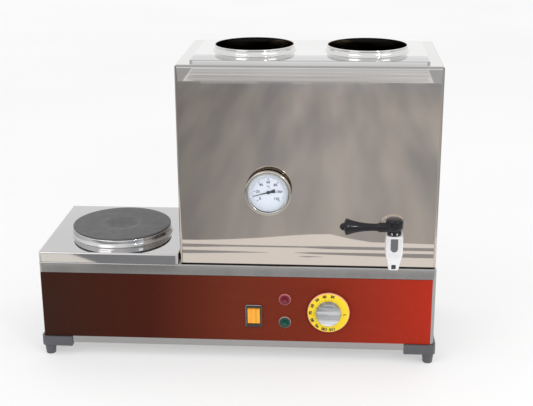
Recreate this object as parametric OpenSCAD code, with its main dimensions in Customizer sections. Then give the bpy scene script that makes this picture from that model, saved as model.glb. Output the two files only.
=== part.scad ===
// Electric tea urn: a low control base with a hot plate on its left and a
// double-walled water tank with two teapot collars, a thermometer and a lever tap.

/* [Base cabinet] */
// Width of the base
base_w = 700; // [660:1:800]
// Depth of the base
base_d = 263; // [240:1:320]
// Height of the base cabinet
base_h = 155; // [145:1:200]
// Gap between the cabinet and the table
floor_gap = 25; // [20:1:40]
// Thickness of the sheet steel
sheet = 1.2; // [0.8:0.1:2]
// Radius of the cabinet's upright corners
corner_r = 5; // [4:0.5:8]
// Bend radius along the cabinet's top
edge_r = 3; // [2.5:0.5:4]
// Width of the flanges folded in along the openings
flange_w = 14; // [12:1:20]

/* [Front panel] */
// Height of the coloured panel
panel_h = 122; // [116:1:124]
// Thickness of the coloured panel
panel_t = 1.5; // [1:0.1:3]
// Steel band left bare above the panel
panel_band = 20; // [14:1:24]
// Bare strip at each end of the panel
panel_side = 2; // [1:0.5:10]

/* [Feet] */
// Length of a foot's legs along the cabinet
foot_l = 55; // [48:1:80]
// Wall of a foot outside the cabinet
foot_wall = 4; // [3:0.5:6]
// Thickness of a foot's sole
foot_sole = 6.7; // [5:0.1:9]
// Height of a foot's wall beside the cabinet
foot_lip = 12; // [8:1:12]
// Diameter of the peg at the sole
peg_top_d = 20; // [16:1:24]
// Diameter of the peg at the table
peg_tip_d = 16; // [12:1:16]
// Distance of the peg from both faces of the cabinet
peg_in = 8.6; // [8:0.1:14]

/* [Hot plate] */
// Height of the raised tray
tray_h = 18.5; // [15:0.5:30]
// Diameter of the cast-iron plate
plate_d = 180; // [145:1:180]
// Height of the plate's face above the tray
plate_rise = 16; // [14:0.5:20]
// Thickness of the plate's overhanging lip
plate_lip = 3; // [2:0.5:4]
// Depth of the iron body below the tray's face
plate_sink = 8; // [6:0.5:12]
// Diameter of the hollow in the middle of the plate
plate_hollow_d = 61; // [40:1:70]
// Depth of that hollow
plate_hollow = 1.6; // [1:0.1:2.5]
// Width that the steel rim stands out at its foot
rim_flare = 3.4; // [2.5:0.1:5]
// Distance of the plate's centre from the tray's left side
plate_x = 128; // [118:1:132]
// Distance of the plate's centre from the tray's front
plate_y = 119.5; // [112:0.5:122]

/* [Tank] */
// Width of the tank
tank_w = 446; // [430:1:450]
// Height of the tank's casing
tank_h = 350; // [320:1:420]
// Distance of the tank's front behind the base's front
tank_setback = 2.5; // [2:0.5:6]
// Distance of the tank's side and back inside the base's
tank_inset = 1.5; // [1:0.5:4]
// Gap between the tank and the hot-plate tray
tray_gap = 2.5; // [1.5:0.5:6]
// Bend radius of the tank's edges
tank_r = 5; // [4:0.5:8]
// Thickness of the gasket under the tank
gasket_t = 3; // [2:0.5:5]
// Distance of the gasket inside the tank's foot
gasket_inset = 5; // [3:0.5:6]
// Distance from the casing's outside to the water vessel
jacket = 18; // [15:0.5:20]
// Distance from the casing's foot to the vessel's floor
jacket_floor = 20; // [18:0.5:26]
// Wall of the water vessel
vessel_wall = 1.2; // [1:0.1:2]
// Corner radius of the water vessel
vessel_r = 12; // [8:1:20]

/* [Top cover and teapot collars] */
// Distance of the raised cover inside the tank's edge
cover_inset = 22; // [20:1:26]
// Height of the raised cover
cover_rise = 4; // [3:0.5:6]
// Corner radius of the cover
cover_r = 8; // [6:1:14]
// Bore of a teapot collar
collar_d = 136.6; // [120:0.1:142]
// Distance between the two collars' centres
collar_pitch = 197.5; // [186:0.5:210]
// Height of a collar above the cover
collar_rise = 11; // [8:0.5:20]
// Depth of a collar's sleeve below the cover
collar_drop = 20; // [14:1:30]
// Wall of a collar
collar_wall = 1.5; // [1.2:0.1:2]

/* [Thermometer] */
// Distance of the thermometer from the tank's left side
gauge_x = 156.5; // [130:0.5:170]
// Height of the thermometer above the tank's foot
gauge_z = 134.5; // [125:0.5:160]
// Diameter of the bezel
bezel_d = 79; // [70:0.5:90]
// Depth of the bezel ring
bezel_h = 7; // [6:0.5:9]
// Distance of the bezel's face in front of the tank
gauge_out = 19; // [18:0.5:26]
// Diameter of the dial that shows
dial_d = 67.5; // [55:0.5:68]
// Length of the probe inside the vessel
probe_l = 45; // [35:1:60]
// Diameter of the threaded stem
stem_d = 13; // [12:0.5:16]
// Angle of the needle at rest, from three o'clock
needle_angle = 195; // [150:1:219]

/* [Tap] */
// Distance of the tap from the tank's right side
tap_x = 76.5; // [60:0.5:90]
// Height of the tap's shank above the tank's foot
tap_z = 71; // [66:0.5:90]
// Distance of the tap's axis in front of the tank
tap_out = 48; // [44:0.5:60]
// Width of the tap's body at its top
tap_w = 29; // [27:0.5:34]
// Width of the tap's outlet at its tip
spout_w = 17; // [15:0.5:20]
// Height of the straight part of the tap's body
tap_head_h = 27; // [25:0.5:32]
// Height of the tapered outlet below it
spout_h = 32; // [26:0.5:40]
// Bore of the outlet
outlet_d = 10; // [8:0.5:11]
// Diameter of the valve plug
plug_d = 15; // [14:0.5:17]
// Diameter of the rosette on the tank
rosette_d = 48; // [40:1:56]
// Thickness of the rosette
rosette_t = 5; // [4:0.5:8]
// Diameter of the shank
shank_d = 16.6; // [14:0.1:18]
// Diameter of the bonnet
bonnet_d = 24; // [22:0.5:27]
// Height of the bonnet
bonnet_h = 9.5; // [8:0.5:14]
// Diameter of the lever's hub
hub_d = 31.3; // [28:0.1:36]
// Height of the lever's hub
hub_h = 25; // [22:0.5:30]
// Length of the lever from its hub's axis to its tip
lever_l = 91; // [75:1:110]
// Diameter of the lever's flare near its tip
flare_d = 28.6; // [24:0.1:32]
// Diameter of the lever's waist
waist_d = 12.6; // [10:0.1:14]

/* [Rocker switch] */
// Distance of the switch from the base's left side
switch_x = 382; // [360:1:390]
// Height of the switch above the panel's lower edge
switch_z = 48; // [40:0.5:70]
// Width of the switch's frame
switch_w = 29; // [26:0.5:32]
// Height of the switch's frame
switch_h = 42; // [38:0.5:44]
// Width of the rocker
rocker_w = 21.7; // [19:0.1:22]
// Height of the rocker
rocker_h = 30.4; // [28:0.1:32]
// Full tilt of the rocker
rocker_swing = 16; // [12:1:20]

/* [Signal lamps] */
// Distance of the lamps from the base's left side
lamp_x = 437; // [425:1:445]
// Height of the lower lamp above the panel's lower edge
lamp_z = 36.6; // [30:0.1:45]
// Distance between the two lamps
lamp_pitch = 43.6; // [36:0.1:60]
// Diameter of a lamp's bezel
lamp_d = 22; // [18:0.5:26]
// Diameter of a lamp's lens
lens_d = 15; // [12:0.5:16]

/* [Thermostat] */
// Distance of the thermostat from the base's left side
knob_x = 514; // [500:1:530]
// Height of the thermostat above the panel's lower edge
knob_z = 59.2; // [52:0.1:66]
// Diameter of the numbered disc
disc_d = 74; // [64:0.5:80]
// Depth of the numbered disc
disc_t = 4.5; // [4:0.5:7]
// Diameter of the knob
knob_d = 47; // [40:0.5:52]
// Height of the knob
knob_h = 15; // [12:0.5:22]
// Diameter of the shaft
shaft_d = 6; // [5:0.5:7]

/* [Heating element] */
// Diameter of the heating tube
heater_d = 8.5; // [7:0.5:10]
// Distance between its two legs
heater_pitch = 60; // [50:1:90]
// Length of the loop over the vessel's floor
heater_l = 130; // [100:1:150]
// Height of the loop above the vessel's floor
heater_rise = 26; // [22:1:30]

/* [Cable gland] */
// Distance of the gland from the base's right side
gland_x = 90; // [70:1:120]
// Height of the gland above the lower edge of the service opening
gland_z = 16; // [14:1:40]
// Bore of the gland
gland_bore = 9; // [6:0.5:10]
// Distance the gland stands out at the back
gland_out = 21; // [18:1:30]

/* [Clearances] */
// Gap between fixed parts that slip together
slip = 0.3; // [0.2:0.05:0.5]
// Radial gap of a turning shaft
run = 0.05; // [0.03:0.01:0.08]

/* [Hidden] */
$fn = 64;
eps = 0.01;
steel = [0.72, 0.71, 0.69];
steel_dull = [0.56, 0.56, 0.55];
black = [0.09, 0.09, 0.10];
foot_grey = [0.27, 0.27, 0.29];
brass = [0.76, 0.62, 0.34];
chrome = [0.82, 0.82, 0.84];

// What stands out at the front and back sets where the base lies around the origin
front_reach = tap_out + hub_d / 2 - tank_setback;
x_left = -base_w / 2;
x_right = base_w / 2;
y_front = (front_reach - base_d - gland_out) / 2;
y_back = y_front + base_d;
z_base = floor_gap;
z_deck = floor_gap + base_h;

// The panel and its controls
panel_top = z_deck - panel_band;
panel_bottom = panel_top - panel_h;
y_panel = y_front - panel_t;
wall_stack = panel_t + sheet;

// The tray and the tank share the base's width
tank_x1 = x_right - tank_inset;
tank_x0 = tank_x1 - tank_w;
tank_cx = (tank_x0 + tank_x1) / 2;
tank_y0 = y_front + tank_setback;
tank_y1 = y_back - tank_inset;
tank_d = tank_y1 - tank_y0;
tank_cy = (tank_y0 + tank_y1) / 2;
tank_z0 = z_deck + gasket_t;
tank_z1 = tank_z0 + tank_h;
tray_w = tank_x0 - tray_gap - x_left;
tray_z = z_deck + tray_h;
vessel_x0 = tank_x0 + jacket;
vessel_x1 = tank_x1 - jacket;
vessel_y0 = tank_y0 + jacket;
vessel_y1 = tank_y1 - jacket;
vessel_z0 = tank_z0 + jacket_floor;
vessel_z1 = tank_z1 - sheet;
casing_y1 = tank_y1 - sheet;
shell_stack = jacket + vessel_wall;

// Hot plate
plate_cx = x_left + plate_x;
plate_cy = y_front + plate_y;
plate_r = plate_d / 2;
iron_r = plate_r - 4;
rim_top = plate_rise - plate_lip;
rim_wall = 1.2;
stud_r = 4;
stud_l = 34;
bridge_w = 24;
bridge_t = 2.5;
bridge_span = 2 * iron_r + 30;
bridge_drop = plate_sink + 12;
deck_hole_r = iron_r - 8;

// Thermometer
gauge_cx = tank_x0 + gauge_x;
gauge_cz = tank_z0 + gauge_z;
gauge_y = tank_y0 - gauge_out;
case_r = bezel_d / 2 - 2.6;
case_wall = 1.2;
hex_t = 6;
case_y1 = tank_y0 - hex_t;
glass_t = 1.5;
glass_y = gauge_y + 1.6;
spindle_r = 1.2;
dial_t = 0.8;
dial_y = case_y1 - 4;
probe_r = 4;
nut_t = 6;

// Tap
tap_cx = tank_x1 - tap_x;
tap_cz = tank_z0 + tap_z;
tap_cy = tank_y0 - tap_out;
tap_top = tap_cz + 1.5;
spout_z = tap_top - tap_head_h - spout_h;
shank_r = shank_d / 2;
seal_t = 2;
plug_r = plug_d / 2;
bonnet_z1 = tap_top + bonnet_h;
bonnet_roof = 2;
neck_r = bonnet_d / 2 - 1.8;
neck_h = bonnet_h - bonnet_roof;
seat_h = tap_head_h - 2;
hub_z0 = bonnet_z1 + slip;
hub_z1 = hub_z0 + hub_h;
lever_z = hub_z0 + 6.2;
spindle_w = 4;

// Switch, lamps, thermostat
switch_cx = x_left + switch_x;
switch_cz = panel_bottom + switch_z;
switch_lip = 2.2;
switch_body_w = switch_w - 3.4;
switch_body_h = switch_h - 3.4;
switch_depth = 24;
rocker_pivot_y = y_panel + 4;
rocker_pin_r = 1.5;
rocker_gap = 0.35;
lamp_cx = x_left + lamp_x;
lamp_cz = panel_bottom + lamp_z;
knob_cx = x_left + knob_x;
knob_cz = panel_bottom + knob_z;
disc_gap = 3;
disc_wall = 1.6;
thermo_w = 38;
thermo_h = 44;
thermo_depth = 30;
thermo_y0 = y_front + sheet;
thermo_y1 = thermo_y0 + thermo_depth;
bush_r = 5.5;
screw_pitch = 28;

// Capillary, pocket and heating element
capillary_r = 1.2;
capillary_bend = 12;
capillary_run = 10;
capillary_y = thermo_y1 + capillary_run + capillary_bend;
capillary_z = knob_cz + 12;
bulb_r = 3;
bulb_l = 70;
pocket_r = 4.5;
pocket_l = 84;
heater_r = heater_d / 2;
heater_y = tank_cy + heater_l / 2 - heater_pitch / 4;
heater_z = vessel_z0 + vessel_wall + heater_rise;
heater_bend = 14;
heater_tail = jacket_floor + gasket_t + sheet + 22;

// Service cover in the base's back and the tank's back panel, with their screws
service_x0 = x_left + 40;
service_x1 = x_right - 40;
service_z0 = z_base + 16;
service_z1 = z_deck - 16;
border = flange_w / 2;
service_screws = [for (x = [service_x0 + border, (service_x0 + service_x1) / 2, service_x1 - border],
  z = [service_z0 + border, service_z1 - border]) [x, z]];
back_x0 = tank_x0 + 10;
back_x1 = tank_x1 - 10;
back_z0 = tank_z0 + 10;
back_z1 = tank_z1 - 10;
back_screws = concat(
  [for (x = [back_x0 + border, tank_cx, back_x1 - border], z = [back_z0 + border, back_z1 - border]) [x, z]],
  [for (x = [back_x0 + border, back_x1 - border]) [x, (back_z0 + back_z1) / 2]]);
sheet_screw_r = 1.9;
sheet_screw_l = 8;

// Gland
gland_cx = x_right - gland_x;
gland_cz = service_z0 + flange_w + gland_z;
gland_thread_r = gland_bore / 2 + 3.2;
gland_hex_r = gland_thread_r + 4.5;

// Plan of a rectangle with round corners
module round_rect(w, d, r) {
  translate([r, 0]) square([w - 2 * r, d]);
  translate([0, r]) square([w, d - 2 * r]);
  for (x = [r, w - r], y = [r, d - r]) translate([x, y]) circle(r);
}

// Upright rectangle whose two top corners are round
module round_top(w, h, r) {
  square([w, h - r]);
  translate([r, 0]) square([w - 2 * r, h]);
  for (x = [r, w - r]) translate([x, h - r]) circle(r);
}

// Folded box: round upright corners and round top edges
module folded_box(w, d, h, r_up, r_top) {
  intersection() {
    linear_extrude(h) round_rect(w, d, r_up);
    translate([0, d, 0]) rotate([90, 0, 0]) linear_extrude(d) round_top(w, h, r_top);
    rotate([90, 0, 90]) linear_extrude(w) round_top(d, h, r_top);
  }
}

// Cylinder that points forward, from its y_near face back by length l
module along_y(r, l) {
  rotate([-90, 0, 0]) cylinder(r = r, h = l);
}

// Ring about a forward axis
module ring_y(r_out, r_in, l) {
  difference() {
    along_y(r_out, l);
    translate([0, -eps, 0]) along_y(r_in, l + 2 * eps);
  }
}

// Profile turned about a forward axis, given as radius and distance back
module turned_y(points) {
  rotate([-90, 0, 0]) rotate_extrude() polygon(points);
}

// Row of slots with round ends
module slots(count, pitch, l, w) {
  for (i = [0:count - 1]) translate([(i - (count - 1) / 2) * pitch, 0]) round_rect_c(w, l);
}

module round_rect_c(w, l) {
  translate([-w / 2, -l / 2 + w / 2]) square([w, l - w]);
  for (s = [-1, 1]) translate([0, s * (l - w) / 2]) circle(w / 2);
}

// Pan-head screw that points back, its head's seat at y = 0
module pan_screw_y(r, l) {
  along_y(r, l);
  turned_y([[0, 0], [2 * r, 0], [2 * r, -0.8 * r], [1.5 * r, -1.25 * r], [0, -1.25 * r]]);
}

module pan_screw_up(r, l) {
  cylinder(r = r, h = l);
  rotate_extrude() polygon([[0, 0], [1.8 * r, 0], [1.8 * r, -0.8 * r], [1.4 * r, -1.2 * r], [0, -1.2 * r]]);
}

// Places on the cabinet's bottom where a foot's two screws go, from its corner
foot_screw_r = 2;
foot_screw_spots = [[36, 11], [11, 36]];

// The four corners of the base: origin corner and the two signs towards its middle
corners = [[x_left, y_front, 1, 1], [x_right, y_front, -1, 1], [x_left, y_back, 1, -1], [x_right, y_back, -1, -1]];

module at_corner(i) {
  c = corners[i];
  translate([c[0], c[1], 0])
    mirror([c[2] < 0 ? 1 : 0, 0, 0])
      mirror([0, c[3] < 0 ? 1 : 0, 0])
        children();
}

module foot_screw_holes(z, h) {
  for (i = [0:3], p = foot_screw_spots)
    at_corner(i) translate([p[0], p[1], z]) cylinder(r = foot_screw_r + slip, h = h);
}

// Bolts that hold the tank's foot to the deck
bolt_r = 2.5;
bolt_in = gasket_inset + 6;
bolt_spots = [for (x = [tank_x0 + 40, tank_x1 - 40], y = [tank_y0 + bolt_in, casing_y1 - bolt_in]) [x, y]];

module bolt_holes(z, h) {
  for (p = bolt_spots) translate([p[0], p[1], z]) cylinder(r = bolt_r + slip, h = h);
}

// The two legs of the heating element and the bulb's pocket, where they pass a floor
module floor_holes(z, h, leg_r, tube_r) {
  for (s = [-1, 1])
    translate([tank_cx + s * heater_pitch / 2, heater_y, z]) cylinder(r = leg_r, h = h);
  translate([knob_cx, capillary_y, z]) cylinder(r = tube_r, h = h);
}

// Holes of the controls in the front wall, behind the panel's own
module control_holes(y, l) {
  translate([switch_cx - switch_body_w / 2 - slip, y, switch_cz - switch_body_h / 2 - slip])
    cube([switch_body_w + 2 * slip, l, switch_body_h + 2 * slip]);
  for (i = [0, 1])
    translate([lamp_cx, y, lamp_cz + i * lamp_pitch]) along_y(lens_d / 2 + 1 + slip, l);
  translate([knob_cx, y, knob_cz]) along_y(bush_r + slip, l);
  for (s = [-1, 1])
    translate([knob_cx + s * screw_pitch / 2, y, knob_cz]) along_y(foot_screw_r + slip, l);
}

module screw_holes(spots, y, l) {
  for (p = spots) translate([p[0], y, p[1]]) along_y(sheet_screw_r + slip, l);
}

module base_cabinet() color(steel) difference() {
  translate([x_left, y_front, z_base]) folded_box(base_w, base_d, base_h, corner_r, edge_r);
  translate([x_left + sheet, y_front + sheet, z_base + sheet])
    folded_box(base_w - 2 * sheet, base_d - 2 * sheet, base_h - 2 * sheet, corner_r - sheet, edge_r - sheet);
  translate([x_left + flange_w, y_front + flange_w, z_base - 1])
    cube([base_w - 2 * flange_w, base_d - 2 * flange_w, sheet + 2]);
  translate([service_x0 + flange_w, y_back - sheet - 1, service_z0 + flange_w])
    cube([service_x1 - service_x0 - 2 * flange_w, sheet + 2, service_z1 - service_z0 - 2 * flange_w]);
  translate([plate_cx, plate_cy, z_deck - sheet - 1]) cylinder(r = deck_hole_r, h = sheet + 2);
  floor_holes(z_deck - sheet - 1, sheet + 2, heater_r + 6, pocket_r + 3);
  bolt_holes(z_deck - sheet - 1, sheet + 2);
  foot_screw_holes(z_base - 1, sheet + 2);
  control_holes(y_front - 1, sheet + 2);
  screw_holes(service_screws, y_back - sheet - 1, sheet + 2);
}

module base_bottom_plate() color(steel_dull) difference() {
  inset = sheet + slip;
  translate([x_left + inset, y_front + inset, z_base + sheet])
    linear_extrude(sheet) difference() {
      round_rect(base_w - 2 * inset, base_d - 2 * inset, corner_r - sheet);
      for (y = [base_d * 0.3, base_d * 0.7])
        translate([base_w / 2 - inset, y - inset]) slots(18, 24, 42, 5);
    }
  foot_screw_holes(z_base, 3 * sheet);
}

module base_service_cover() color(steel) difference() {
  translate([service_x0, y_back + sheet, service_z0]) rotate([90, 0, 0])
    linear_extrude(sheet) round_rect(service_x1 - service_x0, service_z1 - service_z0, 4);
  for (bank = [-1, 1])
    translate([bank * base_w / 5, y_back + sheet + 1, (service_z0 + service_z1) / 2]) rotate([90, 0, 0])
      linear_extrude(sheet + 2) slots(11, 12, 46, 4);
  translate([gland_cx, y_back - 1, gland_cz]) along_y(gland_thread_r + slip, sheet + 2);
  screw_holes(service_screws, y_back - 1, sheet + 2);
}

module screws_at(spots, y) {
  for (p = spots)
    translate([p[0], y, p[1]]) rotate([0, 0, 180]) pan_screw_y(sheet_screw_r, sheet_screw_l);
}

module service_cover_screws() color(steel) screws_at(service_screws, y_back + sheet);

module control_panel() color([0.45, 0.14, 0.10]) difference() {
  translate([x_left + panel_side, y_panel, panel_bottom]) cube([base_w - 2 * panel_side, panel_t, panel_h]);
  control_holes(y_panel - 1, panel_t + 2);
}

// Plan of a foot's sole: two legs that meet at the corner
module foot_plan() {
  difference() {
    translate([-foot_wall, -foot_wall]) round_rect(foot_l + foot_wall, foot_l + foot_wall, corner_r + foot_wall);
    translate([foot_l, foot_l]) circle(foot_l - 20);
    translate([foot_l - corner_r - foot_wall, foot_l - 30]) square(60);
  }
}

module foot() {
  sole_z = z_base - foot_sole;
  difference() {
    union() {
      translate([0, 0, sole_z]) linear_extrude(foot_sole) foot_plan();
      translate([0, 0, z_base - eps]) linear_extrude(foot_lip + eps) difference() {
        translate([-foot_wall, -foot_wall]) round_rect(foot_l + foot_wall, foot_l + foot_wall, corner_r + foot_wall);
        translate([-slip, -slip]) round_rect(2 * foot_l, 2 * foot_l, corner_r);
      }
      translate([peg_in, peg_in, 0]) cylinder(d1 = peg_tip_d, d2 = peg_top_d, h = sole_z + eps);
    }
    for (p = foot_screw_spots) translate([p[0], p[1], 0]) {
      cylinder(r = foot_screw_r + slip, h = z_base + 1);
      cylinder(r = 2 * foot_screw_r + slip, h = sole_z + foot_sole / 2);
    }
  }
}

module foot_front_left() color(foot_grey) at_corner(0) foot();
module foot_front_right() color(foot_grey) at_corner(1) foot();
module foot_rear_left() color(foot_grey) at_corner(2) foot();
module foot_rear_right() color(foot_grey) at_corner(3) foot();

module foot_screws() color(steel_dull) for (i = [0:3], p = foot_screw_spots)
  at_corner(i) translate([p[0], p[1], z_base - foot_sole / 2])
    pan_screw_up(foot_screw_r, foot_sole / 2 + 2 * sheet + 3);

module cable_gland() color(black) translate([gland_cx, y_back, gland_cz]) {
  difference() {
    union() {
      translate([0, -9, 0]) along_y(gland_thread_r, sheet + 9 + eps);
      translate([0, sheet, 0]) rotate([-90, 0, 0]) cylinder(r = gland_hex_r, h = 5, $fn = 6);
      translate([0, sheet + 5 - eps, 0]) turned_y([[0, 0], [gland_hex_r - 1, 0], [gland_hex_r - 1, 7],
        [gland_bore / 2 + 1, gland_out - sheet - 5], [0, gland_out - sheet - 5]]);
    }
    translate([0, -10, 0]) along_y(gland_bore / 2, gland_out + 11);
  }
}

module gland_lock_nut() color(black) translate([gland_cx, y_back - 5, gland_cz]) difference() {
  rotate([-90, 0, 0]) cylinder(r = gland_hex_r, h = 5, $fn = 6);
  translate([0, -1, 0]) along_y(gland_thread_r + slip / 2, 7);
}

module mains_terminal_block() color([0.92, 0.9, 0.84]) difference() {
  translate([gland_cx - 90, y_back - 70, z_base + 2 * sheet]) cube([62, 22, 17]);
  for (i = [0:4]) translate([gland_cx - 84 + i * 12.5, y_back - 71, z_base + 2 * sheet + 6])
    along_y(2.2, 24);
}

module hotplate_tray() color(steel) difference() {
  translate([x_left, y_front, z_deck]) folded_box(tray_w, base_d, tray_h, corner_r, edge_r);
  translate([x_left + sheet, y_front + sheet, z_deck - 1])
    folded_box(tray_w - 2 * sheet, base_d - 2 * sheet, tray_h - sheet + 1, corner_r - sheet, edge_r - sheet);
  translate([plate_cx, plate_cy, tray_z - sheet - 1]) cylinder(r = iron_r + 1, h = sheet + 2);
}

module hotplate_rim() color(steel) translate([plate_cx, plate_cy, tray_z]) rotate_extrude()
  polygon([
    [iron_r + slip, 0], [plate_r + rim_flare, 0], [plate_r + rim_flare, 0.7],
    [plate_r + rim_flare - 1.2, 1.6], [plate_r - 0.1, rim_top - 1.6], [plate_r - 0.9, rim_top - 0.4],
    [plate_r - 2.4, rim_top - 0.4], [plate_r - 2.4, rim_top - 1.6], [plate_r - 0.1 - rim_wall, rim_top - 2.6],
    [plate_r + rim_flare - 1.4 - rim_wall, 1.2], [iron_r + slip, 1.2]
  ]);

module hotplate_iron() color([0.24, 0.24, 0.25]) translate([plate_cx, plate_cy, tray_z]) difference() {
  rotate_extrude() polygon([
    [0, -plate_sink], [iron_r - 3, -plate_sink], [iron_r, -plate_sink + 3], [iron_r, rim_top],
    [plate_r - 0.6, rim_top], [plate_r, rim_top + 0.6], [plate_r, plate_rise - 1.2],
    [plate_r - 1.2, plate_rise], [plate_hollow_d / 2 + 2.5, plate_rise],
    [plate_hollow_d / 2 - 1, plate_rise - plate_hollow], [0, plate_rise - plate_hollow]
  ]);
  translate([0, 0, -plate_sink - 1]) cylinder(r = stud_r, h = 9);
  translate([0, 0, -plate_sink - 1]) difference() {
    cylinder(r = iron_r - 10, h = 5);
    translate([0, 0, -1]) cylinder(r = 14, h = 7);
  }
}

module hotplate_bridge() color(steel_dull) translate([plate_cx, plate_cy + bridge_w / 2, tray_z - sheet]) difference() {
  rotate([90, 0, 0]) linear_extrude(bridge_w) for (s = [-1, 1]) polygon([
    [0, -bridge_drop + bridge_t], [s * (iron_r - 24), -bridge_drop + bridge_t],
    [s * (iron_r + 2), -plate_sink - 1], [s * (iron_r + 6), 0], [s * bridge_span / 2, 0],
    [s * bridge_span / 2, -bridge_t], [s * (iron_r + 7.6), -bridge_t],
    [s * (iron_r + 4), -plate_sink - 2.6], [s * (iron_r - 23), -bridge_drop], [0, -bridge_drop]
  ]);
  translate([0, -bridge_w / 2, -bridge_drop - 1]) cylinder(r = stud_r + slip, h = bridge_t + 2);
}

module hotplate_stud() color(steel_dull) translate([plate_cx, plate_cy, tray_z]) {
  translate([0, 0, -plate_sink + 8 - stud_l]) cylinder(r = stud_r, h = stud_l);
  translate([0, 0, -sheet - bridge_drop - 6.5]) cylinder(r = 7.5, h = 6.5, $fn = 6);
}

module hotplate_terminals() color([0.93, 0.9, 0.83]) translate([plate_cx, plate_cy, tray_z]) difference() {
  translate([-22, 24, -plate_sink - 8]) cube([44, 22, 12]);
  for (i = [-1.5:1:1.5]) translate([i * 10, 35, -plate_sink - 9]) cylinder(r = 2, h = 8);
}

// Ring along the tank's foot, inset from its outline
module foot_ring(inset, w, z, h) {
  translate([tank_x0 + inset, tank_y0 + inset, z]) linear_extrude(h) difference() {
    round_rect(tank_w - 2 * inset, casing_y1 - tank_y0 - 2 * inset, tank_r);
    translate([w, w])
      round_rect(tank_w - 2 * inset - 2 * w, casing_y1 - tank_y0 - 2 * inset - 2 * w, tank_r);
  }
}

module tank_gasket() color(black) difference() {
  foot_ring(gasket_inset, 12, z_deck, gasket_t);
  bolt_holes(z_deck - 1, gasket_t + 2);
}

module tank_floor() color(steel_dull) difference() {
  inset = sheet + slip;
  translate([tank_x0 + inset, tank_y0 + inset, tank_z0 + sheet])
    linear_extrude(sheet) round_rect(tank_w - 2 * inset, casing_y1 - tank_y0 - 2 * inset, tank_r - sheet);
  floor_holes(tank_z0, 4 * sheet, heater_r + 4, pocket_r + 2);
  bolt_holes(tank_z0, 4 * sheet);
}

module tank_bolts() color(steel_dull) for (p = bolt_spots) translate([p[0], p[1], 0]) {
  translate([0, 0, z_deck - sheet - 7]) cylinder(r = bolt_r, h = 7 + 3 * sheet + gasket_t + 3.6);
  translate([0, 0, z_deck - sheet - 4]) cylinder(r = 4.6, h = 4, $fn = 6);
  translate([0, 0, tank_z0 + 2 * sheet]) cylinder(r = 4.6, h = 3.6, $fn = 6);
}

module wall_holes(y, l, more) {
  translate([gauge_cx, y, gauge_cz]) along_y(stem_d / 2 + more, l);
  translate([tap_cx, y, tap_cz]) along_y(shank_r + more, l);
}

module tank_casing() color(steel) difference() {
  translate([tank_x0, tank_y0, tank_z0]) folded_box(tank_w, casing_y1 - tank_y0, tank_h, tank_r, tank_r);
  translate([tank_x0 + sheet, tank_y0 + sheet, tank_z0 + sheet])
    folded_box(tank_w - 2 * sheet, casing_y1 - tank_y0 - 2 * sheet, tank_h - 2 * sheet, tank_r - sheet, tank_r - sheet);
  translate([tank_x0 + 24, tank_y0 + 24, tank_z0 - 1])
    cube([tank_w - 48, casing_y1 - tank_y0 - 48, sheet + 2]);
  translate([tank_x0 + cover_inset + 8, tank_y0 + cover_inset + 8, tank_z1 - sheet - 1])
    linear_extrude(sheet + 2) round_rect(tank_w - 2 * cover_inset - 16, tank_d - 2 * cover_inset - 16, cover_r);
  translate([back_x0 + flange_w, casing_y1 - sheet - 1, back_z0 + flange_w])
    cube([back_x1 - back_x0 - 2 * flange_w, sheet + 2, back_z1 - back_z0 - 2 * flange_w]);
  bolt_holes(tank_z0 - 1, sheet + 2);
  wall_holes(tank_y0 - 1, sheet + 2, slip);
  screw_holes(back_screws, casing_y1 - sheet - 1, sheet + 2);
}

module tank_back_panel() color(steel) difference() {
  translate([back_x0, tank_y1, back_z0]) rotate([90, 0, 0])
    linear_extrude(sheet) round_rect(back_x1 - back_x0, back_z1 - back_z0, 6);
  screw_holes(back_screws, casing_y1 - 1, sheet + 2);
}

module back_panel_screws() color(steel) screws_at(back_screws, tank_y1);

// Raised cover: a shallow pressed tray, open below, that stands on the casing's flange
module tank_cover() color(steel) difference() {
  cover_w = tank_w - 2 * cover_inset;
  cover_d = tank_d - 2 * cover_inset;
  translate([tank_x0 + cover_inset, tank_y0 + cover_inset, tank_z1])
    folded_box(cover_w, cover_d, cover_rise, cover_r, 2.5);
  translate([tank_x0 + cover_inset + sheet, tank_y0 + cover_inset + sheet, tank_z1 - 1])
    folded_box(cover_w - 2 * sheet, cover_d - 2 * sheet, cover_rise - sheet + 1, cover_r - sheet, 2.5 - sheet);
  for (s = [-1, 1])
    translate([tank_cx + s * collar_pitch / 2, tank_cy, tank_z1])
      cylinder(r = collar_d / 2 + collar_wall + slip, h = cover_rise + 1, $fn = 96);
}

// Drawn collar: a sleeve with a rolled lip on top and a flared foot on the cover
module collar(side) {
  r = collar_d / 2;
  translate([tank_cx + side * collar_pitch / 2, tank_cy, tank_z1 + cover_rise]) rotate_extrude($fn = 96) {
    polygon([
      [r, -collar_drop], [r + collar_wall, -collar_drop], [r + collar_wall, 0], [r + collar_wall + 4, 0],
      [r + collar_wall + 3.6, 0.9], [r + collar_wall + 1.4, 2.2], [r + collar_wall + 0.5, 5],
      [r + collar_wall, collar_rise - 2], [r + collar_wall, collar_rise - 1.2], [r, collar_rise - 1.2]
    ]);
    translate([r + collar_wall / 2 + 0.4, collar_rise - 1.2]) circle(r = 1.15, $fn = 32);
  }
}

module teapot_collar_left() color(steel) collar(-1);
module teapot_collar_right() color(steel) collar(1);

module water_vessel() color(steel_dull) difference() {
  translate([vessel_x0, vessel_y0, vessel_z0])
    linear_extrude(vessel_z1 - vessel_z0) round_rect(vessel_x1 - vessel_x0, vessel_y1 - vessel_y0, vessel_r);
  translate([vessel_x0 + vessel_wall, vessel_y0 + vessel_wall, vessel_z0 + vessel_wall])
    linear_extrude(vessel_z1 - vessel_z0) round_rect(vessel_x1 - vessel_x0 - 2 * vessel_wall,
      vessel_y1 - vessel_y0 - 2 * vessel_wall, vessel_r - vessel_wall);
  floor_holes(vessel_z0 - 1, vessel_wall + 2, heater_r + slip, pocket_r + slip);
  wall_holes(vessel_y0 - 1, vessel_wall + 2, slip);
}

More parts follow.
